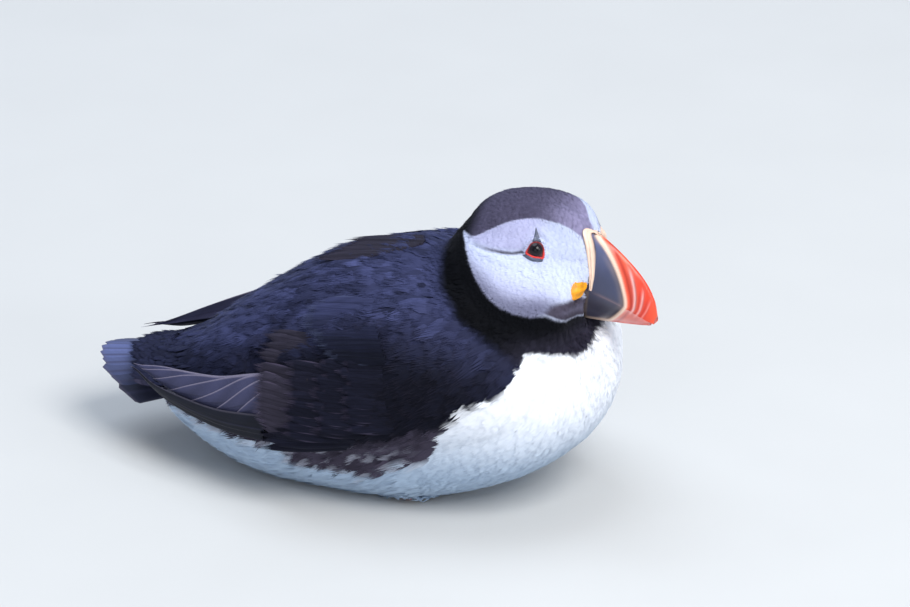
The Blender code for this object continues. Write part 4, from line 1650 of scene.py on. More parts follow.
@dataclass
class Rows:
    """The larger feathers that show one by one: on the shoulders, the wings and over the tail."""

    coat: Coat
    finishes: dict[str, Finish]
    wing: tuple[Row, ...] = (
        Row(
            ((-6, -52, 34), (-9, -53, 44), (-10, -51.6, 57)),
            ((-30.5, -52.6, 37.5), (-33, -51.9, 43), (-33.8, -49.8, 50), (-34.5, -44, 56.5)),
            (0.05, -0.96, 0.25), 8, 6.4, Tone.COVERT_BROWN, Tone.WORN_BROWN, 0.9, 0.6, 0.8, 0.03, 0.25,
        ),
        Row(
            ((-14, -47.5, 57), (-9, -42.5, 70.5)),
            ((-33.5, -41.5, 57), (-31, -34, 66.5)),
            (0, -0.85, 0.5), 15, 4, Tone.COVERT, Tone.WORN_BROWN, 0.35, 0.5, 0.9, 0.2, 0.7,
        ),
        Row(
            ((4, -51.6, 30.8), (10, -53.4, 37.5)),
            ((-33, -51.4, 28.8), (-26, -53.4, 36.5)),
            (0, -0.97, 0), 11, 4.2, Tone.COVERT, Tone.COVERT_BROWN, 0.5, 0.8, 0.8, 0.24, 0.7,
        ),
        Row(
            ((2, -53.4, 35), (2, -53.5, 48), (3, -51, 61)),
            ((-20, -53.6, 36), (-20.5, -52.6, 48), (-19, -49, 61.5)),
            (0, -0.95, 0.25), 15, 4.8, Tone.COVERT, Tone.WORN_BROWN, 0.8, 0.9, 0.9, 0.14,
        ),
        Row(
            ((12, -53.8, 38.5), (10, -53.6, 50), (10, -50.8, 63.5)),
            ((-8, -53.9, 38), (-9, -53.2, 50), (-8, -49.8, 63.5)),
            (0, -0.95, 0.25), 16, 4.6, Tone.COVERT, Tone.WORN_BROWN, 0.75, 0.9, 0.9, 0.16,
        ),
        Row(
            ((24, -54, 42.5), (20, -53.6, 54), (18, -50.6, 66)),
            ((4, -54.2, 40), (2, -53.4, 52), (1, -50.4, 65.5)),
            (0, -0.95, 0.3), 16, 4.6, Tone.COVERT, Tone.WORN_BROWN, 0.6, 0.9, 0.9, 0.16,
        ),
        # The shoulder lobe, with a painted highlight on the edges of its feathers.
        Row(
            ((19, -49.8, 69.5), (14, -43.5, 78), (10, -35, 84)),
            ((-3, -48.4, 66.5), (-12, -43, 69.5), (-19.5, -34, 73.5), (-14, -30.5, 78.5)),
            (0, -0.72, 0.65), 14, 6.2, None, Tone.SCAPULAR_EDGE_HIGHLIGHT, 0.5, 1.7, 1.6, 0.1,
        ),
    )
    rump_front: Line = (
        (-62, -25, 42.5), (-65, -13, 48.5), (-66, 0, 50.6), (-65, 13, 48.5),
        (-62, 25, 42.5),
    )
    rump_rear: Line = (
        (-92, -19.5, 31.8), (-97, -9.5, 36), (-99, 0, 37.2), (-97, 9.5, 36.8),
        (-92, 19.5, 33.8),
    )
    rump_dip: float = 3.6
    vane: Vane = Vane(rows=9, barbs=16, split=0.78, point=0.14, ragged=0.05, ridge=0.03, camber=0.3)
    lock: tuple[Row, ...] = (
        Row(
            ((1, -7.8, 91.6), (10, -4.4, 93.4), (17.5, 3, 94.2), (15, 12, 93)),
            ((-25, -3, 82.4), (-20, -0.5, 85.2), (-14, 5, 87.5), (-14, 13, 85.6)),
            (0, -0.1, 1), 26, 3.4, Tone.COVERT_BROWN, Tone.WORN_BROWN, 0.3, 1.3, 0.5, 0.14, 0.8,
        ),
    )

    def rump(self) -> tuple[Row, ...]:
        """Short rows that overlap from the back on to the tail, last row first.

        Returns:
            The rows.
        """
        front, rear = np.array(self.rump_front), np.array(self.rump_rear)
        rows = []
        for share in np.arange(0.68, -0.05, -0.08):
            roots, tips = front + (rear - front) * share, front + (rear - front) * (share + 0.3)
            roots[:, 2] -= self.rump_dip * math.sin(math.pi * max(share, 0.0))
            tips[:, 2] -= self.rump_dip * math.sin(math.pi * (share + 0.3))
            look = (None, Tone.MANTLE, 0.2, 0.3, 0.3, 0.22, 0.6)
            rows.append(Row(roots, tips, (-0.35, 0, 1), 37, 4.2, *look))
        return tuple(rows)

    def grown(self, row: Row, side: Side, seed: int) -> MeshParts:
        """Makes one row's feathers on one side.

        Args:
            row: The row.
            side: The side of the bird that it is on.
            seed: Picks one set of random turns.

        Returns:
            The numbers of the row's mesh.
        """
        chance = np.random.default_rng(seed)
        turn = np.array((1, -float(side.value), 1))
        starts = spline(np.array(row.roots) * turn, row.count)
        ends = spline(np.array(row.tips) * turn, row.count)
        order = np.arange(row.count)
        out = unit(np.array(row.out) * turn * np.ones((row.count, 1)))
        stray = chance.normal(0, 1, ends.shape).clip(-1.6, 1.6) * row.rough * np.array((10, 3, 7))
        ends = ends + stray - 0.85 * (stray * out).sum(1)[:, None] * out
        starts = starts - out * (1.7 - 0.14 * (order % 4))[:, None]
        way = unit(ends - starts)
        out = unit(out - (out * way).sum(1)[:, None] * way)
        lengths = np.linalg.norm(ends - starts, axis=1) * MM
        faces = self.coat.surface.nearest(starts * MM)[2]
        sizes = (row.width * MM, 0.0, row.lift * MM, row.curl)
        roots = Roots(starts * MM, out, faces, way, lengths, *(np.full(row.count, size) for size in sizes))
        light = 1 + 0.14 * chance.normal(size=row.count)
        vane = replace(self.vane, narrow=1 - row.taper, taper=row.taper)

        def colour(place: Array, home: Array, along: Array, across: Array, number: Array) -> Array:
            """Dark in the middle, paler along the edge and at the tip."""
            rim = np.maximum(ramp(0.72, 1, np.abs(across)), ramp(0.9, 1, along + 0.06 * across**2))
            tone = self.coat.marks.colours(home) if row.base is None else row.base.linear
            if row.base is Tone.COVERT:
                x, _, z = home.T
                tone = mixed(tone, Tone.COVERT_BROWN, ramp(46, 56, z) * ramp(6, -12, x) * (z < 75))
            base = tone * (0.8 + 0.25 * along + 0.08 * np.sin(90 * along + 6 * np.abs(across)))[:, None]
            base = mixed(base, tone * 0.4, 0.6 * bell(across, 0.06))
            return mixed(base, row.edge, row.pale * rim * ramp(0.2, 0.6, along)) * light[number][:, None]

        return self.coat.grow(roots, vane, colour)

    def build(self) -> None:
        """Makes the pieces."""
        groups = [("rump", Side.RIGHT, self.rump()), ("back_lock", Side.RIGHT, self.lock)]
        groups += [(f"wing_rows_{side.word}", side, self.wing) for side in Side]
        tucked = replace(self.wing[-1], base=Tone.COVERT_BROWN, edge=Tone.WORN_BROWN, lift=0.1, curl=2.2)
        for name, side, rows in groups:
            if side is Side.LEFT:
                rows = rows[:-1] + (tucked,)
            parts = [self.grown(row, side, 300 + index) for index, row in enumerate(rows)]
            finished(MeshParts.merged(parts).to_object(name), self.finishes["plumage"], "plumage")


def shelled(outer: Array, inner: Array, colours: Array, cell: Place, barbs: Array) -> MeshParts:
    """A closed thin solid between two grids of points.

    Args:
        outer: The outer face's points, rows by columns by three, in millimetres.
        inner: The inner face's points, in the same order.
        colours: The outer face's linear colours.
        cell: The corner and the width of the solid's square on the bake map.
        barbs: The fine pattern's coordinates for each point of the grid.

    Returns:
        The solid's numbers.
    """
    rows, columns = outer.shape[:2]
    count = rows * columns
    face = grid_faces(rows, columns)
    rim = list(range(columns)) + [r * columns + columns - 1 for r in range(1, rows)]
    rim += [(rows - 1) * columns + c for c in range(columns - 2, -1, -1)]
    rim += [r * columns for r in range(rows - 2, 0, -1)]
    edge = [(a, count + a, count + b, b) for a, b in zip(rim, rim[1:] + rim[:1])]
    quads = np.vstack([face, face[:, ::-1] + count, np.array(edge)])
    r, c = lattice(rows, columns)
    u, v, width = cell
    over = np.stack([u + c * width * 0.47, v + r * width * 0.96], -1).reshape(-1, 2)
    under = over + np.array((width * 0.49, 0))
    flat = colours.reshape(-1, 3)
    points = np.vstack([outer.reshape(-1, 3), inner.reshape(-1, 3)]) * MM
    points[:, 2] = np.maximum(points[:, 2], FLOOR_CLEAR)
    both = np.vstack([flat, flat * 0.9])
    maps = np.vstack([barbs.reshape(-1, 2)] * 2)
    return MeshParts(points, quads, np.zeros((0, 3), int), both, np.vstack([over, under]), maps)


def cell_of(index: int, total: int) -> Place:
    """The corner and width of one square of the bake map, of enough for all.

    Args:
        index: Which square it is.
        total: How many squares there are.

    Returns:
        The corner's two places and the width.
    """
    side = math.ceil(math.sqrt(total))
    width = 1 / side
    return (index % side) * width, (index // side) * width, width


def finished(piece: Piece, finish: Finish, slot: str, *nodes: str) -> Piece:
    """Dresses a piece, lets it ride on the body and hides the frame's nodes that it replaces.

    Args:
        piece: The piece.
        finish: Its material.
        slot: Not used.
        *nodes: The frame's nodes that it replaces.

    Returns:
        The same piece.
    """
    finish.dress(piece)
    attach(piece, "root")
    if nodes:
        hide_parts(*nodes)
    log.info("%s: %d faces", piece.name, len(piece.data.polygons))
    return piece


@dataclass
class Primaries:
    """The long flight feathers of one folded wing, stacked beyond its arm."""

    side: Side
    stations: Stations
    tips: tuple[float, ...] = (0.09, 0.2, 0.3, 0.41, 0.53, 0.66, 0.79, 0.91)
    band: float = 0.42
    curve: float = 0.34
    lean: float = 0.08
    bow: float = 1.2
    thick: float = 0.16
    step: float = 0.3
    rows: int = 56
    columns: int = 23

    def sheet(self, along: Array, height: Array, out: Array) -> Array:
        """Points of the blade.

        Args:
            along: Share of the way from the arm to the tip.
            height: Share of the way from the lower to the upper edge.
            out: How far outside the blade's middle, in millimetres.

        Returns:
            Points in millimetres.
        """
        line = spline(np.array(self.stations), 200)
        places = np.linspace(0, 1, 200)
        x, off, top, foot = (np.interp(along, places, line[:, k]) for k in range(4))
        z = foot + height * (top - foot)
        y = off + self.bow * np.sin(math.pi * np.clip(height, 0, 1)) + self.lean * 0.5 * (top - z) + out
        return np.stack([x, self.side.value * y, z], -1)

    def feather(self, tip: float, low: float, layer: float, band: bool) -> tuple[Array, Array, Array]:
        """Shapes and colours one feather.

        Args:
            tip: Where its tip is, as a share of the blade's length.
            low: Where its lower edge is, as a share of the blade's height.
            layer: How far out it lies, in millimetres.
            band: Whether it belongs to the dark band along the blade's lower edge.

        Returns:
            Its outer and inner faces and its colours.
        """
        s, t = lattice(self.rows, self.columns)
        s, t = 1 - (1 - s) ** 1.35, 1 - (1 - t) ** 1.7
        along = s * tip
        bend = np.clip((along - (tip - self.curve)) / self.curve, 0, 1)
        if band:
            upper = low + (self.band - low) * (1 - 0.9 * np.clip((along - 0.55) / 0.45, 0, 1) ** 2)
            upper = np.maximum(upper, low + 0.02) + 0.5 * ramp(0.75, 1, along)
            lower = np.full_like(along, low) + 0.42 * ramp(0.75, 1, along)
        else:
            end = 0.36 + 0.25 * ramp(0.7, 1, np.array(tip))
            upper = 1 - (1 - end) * bend**1.9
            lower = np.minimum(0.3 + (end - 0.3) * bend, upper - 0.01)
        height = lower + t * (upper - lower)
        camber = 0.2 * np.sin(math.pi * t) * (1 - 0.7 * bend)
        shaft_at = 0.3 if band else 0.42
        shaft = 0.22 * bell(t - shaft_at, 0.035) * (1 - 0.8 * s)
        barbs = 0.03 * np.sin(90 * (along * 3 - 0.9 * np.abs(t - shaft_at)))
        outer = self.sheet(along, height, layer + camber + shaft + barbs)
        inner = self.sheet(along, height, layer - self.thick + camber * 0.9)
        base = Tone.PRIMARY_BLUE if band else Tone.PRIMARY
        colour = base.linear * (0.75 + 0.35 * t + 0.1 * np.sin(40 * along + 5 * t))[..., None]
        width = np.maximum((upper - lower) * 18, 0.5)
        rim = ramp(0.6 / width, 0.2 / width, 1 - t) * (0.2 if band else 0.8)
        rim = np.maximum(rim, ramp(0.985, 0.995, s) * 0.6)
        colour = mixed(colour, Tone.FRINGE, rim * 0.8)
        colour = mixed(colour, Tone.PRIMARY.linear * 0.5, 0.6 * bell(t - shaft_at, 0.03))
        return outer, inner, colour

    def build(self, finish: Finish) -> None:
        """Makes the piece.

        Args:
            finish: The vanes' material.
        """
        feathers = [(1.0, 0.0, -2.1, False)]
        for index, tip in enumerate(reversed(self.tips)):
            feathers.append((tip, 0.0, -1.8 + self.step * index, False))
        feathers += [(0.93, 0.0, 0.6, True), (1.0, 0.1, 0.9, True)]
        s, t = lattice(self.rows, self.columns, -1)
        parts = []
        for index, (tip, low, layer, band) in enumerate(feathers):
            faces = self.feather(tip, low, layer, band)
            if self.side is Side.LEFT:
                faces = tuple(face[:, ::-1] for face in faces)
            barbs = np.stack([s * tip * 4 - np.abs(t) * 0.16, t * 0.4], -1)
            parts.append(shelled(*faces, cell_of(index, len(feathers)), barbs))
        word = self.side.word
        piece = MeshParts.merged(parts).to_object(f"primaries_{word}")
        finished(piece, finish, "flight_feathers", f"wing_{word}")


@dataclass
class TailFan:
    """The short fan of tail feathers."""

    root_x: float = -62.0
    tip_x: float = -111.3
    root_half: float = 13.0
    tip_half: float = 22.0
    root_height: float = 39.0
    tip_height: float = 32.5
    rounding: float = 19.0
    arch: float = 7.5
    roll: float = 6.0
    feathers: int = 12
    thick: float = 0.3
    rows: int = 24
    columns: int = 11

    def sheet(self, along: Array, share: Array, up: Array) -> Array:
        """Points of the fan.

        Args:
            along: Share of the way from the root to the tip.
            share: Share of the half width, from -1 to 1.
            up: How far over the fan's middle face, in millimetres.

        Returns:
            Points in millimetres.
        """
        half = self.root_half + along * (self.tip_half - self.root_half)
        x = self.root_x + along * (self.tip_x - self.root_x + self.rounding * share**2)
        z = self.root_height + along * (self.tip_height - self.root_height) - self.arch * share**2 + up
        y, turn = share * half, math.radians(self.roll)
        lift = z - self.root_height
        rolled = y * math.cos(turn) - lift * math.sin(turn)
        height = y * math.sin(turn) + lift * math.cos(turn) + self.root_height
        return np.stack([x, rolled, height], -1)

    def build(self, finish: Finish) -> None:
        """Makes the piece.

        Args:
            finish: The vanes' material.
        """
        s, t = lattice(self.rows, self.columns, -1)
        parts = []
        for index in range(self.feathers):
            middle = -1 + (2 * index + 1) / self.feathers
            outwards = 1 if middle > 0 else -1
            wide = 2.2 / self.feathers * np.sqrt(np.clip(1 - ramp(0.9, 1, s) ** 2 * 0.75, 0.02, 1))
            share = np.clip(middle + t * wide * (0.75 + 0.25 * s), -1.04, 1.04)
            along = 0.12 + (0.88 - 0.03 * (0.5 + 0.5 * math.sin(index * 2.4))) * s - 0.02 * s * t * outwards
            order = abs(index - (self.feathers - 1) / 2)
            shaft = 0.25 * bell(t, 0.07) * (1 - 0.7 * s)
            up = 0.9 - 0.2 * order - 0.35 * t * outwards * (1 - 0.3 * s) + shaft + 0.2 * (1 - t * t)
            outer, inner = self.sheet(along, share, up), self.sheet(along, share, up - self.thick - shaft)
            # Painted sheen: the middle feathers, on top of the fan, are lighter and bluer out from the base.
            centre = 0.9 * max(0.0, 1 - abs(middle + 0.05) * 1.1)
            colour = mixed(Tone.TAIL, Tone.TAIL_PAINTED_SHEEN, centre * ramp(0.1, 0.7, s))
            colour = mixed(colour, Tone.PRIMARY.linear * 0.6, 0.7 * bell(t, 0.06))
            edge = ramp(0.8, 1, np.abs(t)) * 0.15 + ramp(0.96, 1, s) * 0.3
            colour = mixed(colour, Tone.FRINGE, np.clip(edge, 0, 1) * 0.6)
            barbs = np.stack([s * 3 - np.abs(t) * 0.2, t * 0.4], -1)
            outer, inner, colour, barbs = (grid[:, ::-1] for grid in (outer, inner, colour, barbs))
            parts.append(shelled(outer, inner, colour, cell_of(index, self.feathers), barbs))
        finished(MeshParts.merged(parts).to_object("tail_fan"), finish, "flight_feathers", "tail")


@dataclass(frozen=True)
class Groove:
    """A groove across the bill's horn, or the pale band in one, in front of the cream ridge."""

    start: float
    width: float
    low: float
    top: float
    strength: float

    def past(self, front: Array, z: Array) -> Array:
        """How far in front of its middle places lie. Low on the bill it swings back."""
        return front - (self.start - 0.13 * np.clip(9 - z, 0, 9) * (self.start / 5))


@dataclass
class Bill:
    """The deep banded bill, in two halves, with the horny rim at its base."""

    axes: HeadAxes
    surface: Surface
    stations: Stations = (
        (-4.5, 24, -13.2, 6.9), (0, 22.8, -12.9, 6.7), (5, 21.2, -11.6, 6.2),
        (10, 19, -10.1, 5.6), (15, 16.4, -8.6, 4.9), (20, 13.2, -7, 4.2), (24, 9.6, -5.6, 3.5),
        (27, 5.6, -4.4, 2.7), (29.2, 0.4, -3.6, 1.7),
    )
    lower_end: float = 27.5
    power: float = 1.7
    lift: float = 2.4
    drop: float = 4.8
    gap: float = 0.04
    ridge: Outline = (
        (5.5, -13.2), (9, -10.6), (12.5, -7.5), (15.6, -3.2), (17.6, 0.6), (17.7, 2.4), (16.5, 5.6),
        (13.4, 10.8), (9.7, 15.2), (4.9, 19.3), (-0.8, 22.7),
    )
    rim_back: Line = (
        (3, 6.3, 3), (2.4, 6.5, 6.2), (1.3, 6.7, 10.8), (-0.4, 7, 16), (-2.2, 7.1, 20.4),
        (-4.8, 6.1, 23.9), (-5.1, 4.6, 24.8), (-3.8, 2.6, 24.6), (-2.6, 1.1, 24), (-2.2, 0, 23.8),
    )
    rim_front: Line = (
        (4.2, 6.2, 3), (4, 6.1, 5.6), (3.6, 5.7, 9.3), (2, 5.2, 15.7), (0.1, 4.9, 20.6),
        (-1.8, 4, 23.2), (-2.3, 2.9, 23.9), (-1, 1.7, 23.4), (0.1, 0.8, 22.9), (0.4, 0, 22.7),
    )
    rim_proud: float = 0.6
    grooves: tuple[Groove, ...] = (
        Groove(3.8, 0.5, 2, 15, 0.42), Groove(6.6, 0.45, 1.5, 9.5, 0.36), Groove(9.4, 0.4, 1, 6, 0.28)
    )
    bands: tuple[Groove, ...] = (
        Groove(3.8, 0.55, 1, 14, 1), Groove(6.6, 0.45, 0.5, 8, 0.75), Groove(9.4, 0.35, 0, 5, 0.35)
    )
    rows: int = 110
    columns: int = 34

    def outline(self, x: Array) -> tuple[Array, Array, Array]:
        """Top, foot and half width of the bill at some lengths."""
        line = spline(np.array(self.stations), 300)
        return tuple(np.interp(x, line[:, 0], line[:, k]) for k in (1, 2, 3))

    def closing(self, x: Array) -> Array:
        """Height of the line where the two halves meet."""
        return self.lift - self.drop * np.maximum(0, x / self.stations[-1][0]) ** 2

    def from_ridge(self, x: Array, z: Array) -> Array:
        """Distance in front of the cream ridge, below 0 behind it.

        Args:
            x: Length along the bill.
            z: Height.

        Returns:
            Millimetres for each place.
        """
        line = spline(np.array(self.ridge), 60)
        gap = line_distance(np.stack([x.ravel(), z.ravel()], -1), line).reshape(x.shape)
        return np.where(x > np.interp(z, line[:, 1], line[:, 0]), gap, -gap)

    def relief(self, front: Array, z: Array) -> Array:
        """How far the horn stands out at the ridge and sinks in the grooves.

        Args:
            front: Distance in front of the cream ridge.
            z: Height.

        Returns:
            Millimetres for each place.
        """
        high = 0.55 * bell(front, 0.85) - 0.22 * bell(front - 1.7, 0.45)
        for groove in self.grooves:
            past = groove.past(front, z)
            fade = ramp(-4, groove.low, z) * ramp(groove.top + 4, groove.top, z)
            high -= groove.strength * fade * bell(past, groove.width)
            high += 0.3 * groove.strength * fade * bell(past - 1.1, 0.7)
        return high

    def colour(self, front: Array, x: Array, z: Array, upper: bool) -> Array:
        """Paints the bands of one half.

        Args:
            front: Distance in front of the cream ridge.
            x: Length along the bill.
            z: Height.
            upper: Whether this is the upper half.

        Returns:
            A linear colour for each place.
        """
        foot = z - self.outline(x)[1]
        cloud = 0.5 + 0.5 * ripple(np.stack([x, front, z], -1), 6, 9)
        base = mixed(Tone.BILL_BASE, Tone.BILL_BASE_LOW, ramp(6, -2, z))
        base = base * (0.82 + 0.3 * cloud + 1.3 * ramp(11, 23, z))[..., None]
        base = mixed(base, Tone.BILL_CREAM.linear * 0.7, 0.35 * ramp(-3.4, -1, front) * cloud)
        red = mixed(Tone.BILL_ORANGE, Tone.BILL_RED, ramp(2.5, 6, front) * 0.8)
        red = mixed(red, Tone.BILL_ORANGE, 0.6 * ramp(24, 29, x))
        red = mixed(red, Tone.BILL_GROOVE, 0.75 * bell(front - 1.9, 0.7))
        for band in self.bands:
            past = band.past(front, z)
            fade = ramp(band.low - 3, band.low, z) * ramp(band.top + 3, band.top - 2, z)
            red = mixed(red, Tone.BILL_PALE, band.strength * fade * bell(past, band.width))
            red = mixed(red, Tone.BILL_GROOVE, 0.7 * fade * bell(past + 0.8, 0.4))
        if not upper:
            red = mixed(red, Tone.BILL_PALE, (0.35 + 0.45 * cloud) * ramp(0.6, 2.4, foot))
        colour = mixed(base, red, ramp(-0.1, 0.6, front))
        colour = mixed(colour, Tone.BILL_CREAM, bell(np.maximum(np.abs(front) - 0.3, 0), 0.42))
        if not upper:
            pale = ramp(2.7, 1.5, foot) * ramp(0.5, -0.5, front)
            colour = mixed(colour, Tone.BILL_CREAM.linear * 0.85, 0.8 * pale)
            colour = mixed(colour, Tone.BILL_CREAM.linear * 0.3, 0.5 * ramp(3.6, 3.1, x))
        line = bell(z - self.closing(x) - 0.3, 0.3) * ramp(0, -2, front) * ramp(3, 9, x)
        return mixed(colour, Tone.BILL_PALE.linear * 0.7, 0.45 * line)

    def half(self, upper: bool, finish: Finish) -> None:
        """Makes one half.

        Args:
            upper: Whether this is the upper half.
            finish: The horn's material.
        """
        begin, end = self.stations[0][0], self.stations[-1][0] if upper else self.lower_end
        s = np.linspace(0, 1, self.rows)
        x = begin + (end - begin) * (1 - (1 - s) ** 1.25)
        top, foot, half_width = self.outline(x)
        seam = self.closing(x) + (0.5 if upper else -0.5) * self.gap
        far = top if upper else foot
        rise = np.sin(np.linspace(0, math.pi / 2, self.columns)) ** 0.9
        z = seam[:, None] + rise * (far - seam)[:, None]
        wide_x = np.broadcast_to(x[:, None], z.shape)
        narrow = np.maximum(1 - rise**self.power, 0) ** (1 / self.power)
        front = self.from_ridge(wide_x, z)
        out = self.relief(front, z) * np.minimum(1, 3 * (1 - rise) + 0.25)
        y = np.maximum(half_width[:, None] * narrow + out * (rise < 1), 0)
        y[:, -1] = 0
        colour = self.colour(front, wide_x, z, upper)
        right, left = np.stack([wide_x, -y, z], -1), np.stack([wide_x, y, z], -1)
        ring = np.concatenate([right, left[:, ::-1][:, 1:]], 1)
        tint = np.concatenate([colour, colour[:, ::-1][:, 1:]], 1).reshape(-1, 3)
        rows, columns = ring.shape[:2]
        points = self.axes.world(ring.reshape(-1, 3)) * MM
        sides = np.concatenate([np.arange(rows) * columns, np.arange(rows) * columns + columns - 1])
        first = rows * columns
        caps = [(first + r, first + r + 1, first + rows + r + 1, first + rows + r) for r in range(rows - 1)]
        quads = np.vstack([grid_faces(rows, columns), np.array(caps)])
        fan = []
        for row, order in ((0, 1), (rows - 1, -1)):
            start = row * columns
            fan += [(start, start + k, start + k + 1)[::order] for k in range(1, columns - 1)]
        if not upper:
            quads, fan = quads[:, ::-1], [f[::-1] for f in fan]
        maps = even_map(rows, columns)
        points, maps, tint = (np.vstack([held, held[sides]]) for held in (points, maps, tint))
        parts = MeshParts(points, quads, np.array(fan), tint, maps, maps)
        name = "upper" if upper else "lower"
        finished(parts.to_object(f"bill_{name}_horn"), finish, "bill_horn", f"bill_{name}")

    def rim(self, finish: Finish) -> None:
        """Makes the pale studded rim between the feathers and the horn.

        Args:
            finish: The horn's material.
        """
        back, front = spline(np.array(self.rim_back), 48), spline(np.array(self.rim_front), 48)
        share = np.linspace(0, 1, 11)
        mirror = np.array((1, -1, 1))
        flat = (back[:, None] + (front - back)[:, None] * share[None, :, None]) * mirror
        places = self.axes.world(flat.reshape(-1, 3))
        near, normals, _ = self.surface.nearest(places * MM)
        proud = ((places - near / MM) * normals).sum(1)
        height = flat[..., 2].reshape(-1)
        least = 0.4 - 0.25 * ramp(22.5, 24.5, height)
        places = places + normals * (np.clip(least - proud, 0, 1) * ramp(17, 21, height))[:, None]
        flat = self.axes.local(places).reshape(flat.shape) * mirror
        flat[-1, :, 1] = 0
        x, y, z = flat[..., 0], flat[..., 1], flat[..., 2]
        arc = np.linspace(0, 1, len(back))[:, None]
        studs = 0.12 * np.sin(arc * 95) * np.sin(math.pi * share)
        twin = 0.8 * np.abs(np.sin(math.pi * share * 2)) ** 0.7 + 0.35 * np.sin(math.pi * share)
        out = self.rim_proud * twin * np.sin(math.pi * np.clip(share, 0.04, 0.96)) ** 0.4 + studs
        out = out * (1 - 0.85 * ramp(22.5, 24.5, z))
        away = unit(np.stack([0.25 * np.ones_like(x), y + 0.4, np.maximum(z - 17, 0) * 0.9], -1))
        right = (flat + away * (out + 0.15)[..., None]) * mirror
        left = (right * mirror)[:-1][::-1]
        far = ramp(20.5, 23, left[..., 2]) * ramp(0.1, 1.6, left[..., 1])
        ring = np.concatenate([right, left + np.array((0.5, 0, -1.5)) * far[..., None]], 0)
        glow = 0.8 + 0.25 * twin * np.ones((len(ring), 1))
        colour = Tone.BILL_CREAM.linear * glow[..., None]
        deep = ring.copy()
        deep[..., 1] *= 0.7
        deep[..., 2] -= np.maximum(ring[..., 2] - 17, 0) * 0.12
        outer, inner = (self.axes.world(grid.reshape(-1, 3)).reshape(ring.shape) for grid in (ring, deep))
        outer, inner, colour, barbs = (grid[:, ::-1] for grid in (outer, inner, colour, ring[..., ::2] * 0.1))
        finished(shelled(outer, inner, colour, (0, 0, 1), barbs).to_object("bill_rim"), finish, "bill_horn")

    def build(self, finish: Finish) -> None:
        """Makes both halves and the rim.

        Args:
            finish: The horn's material.
        """
        self.half(True, finish)
        self.half(False, finish)
        self.rim(finish)


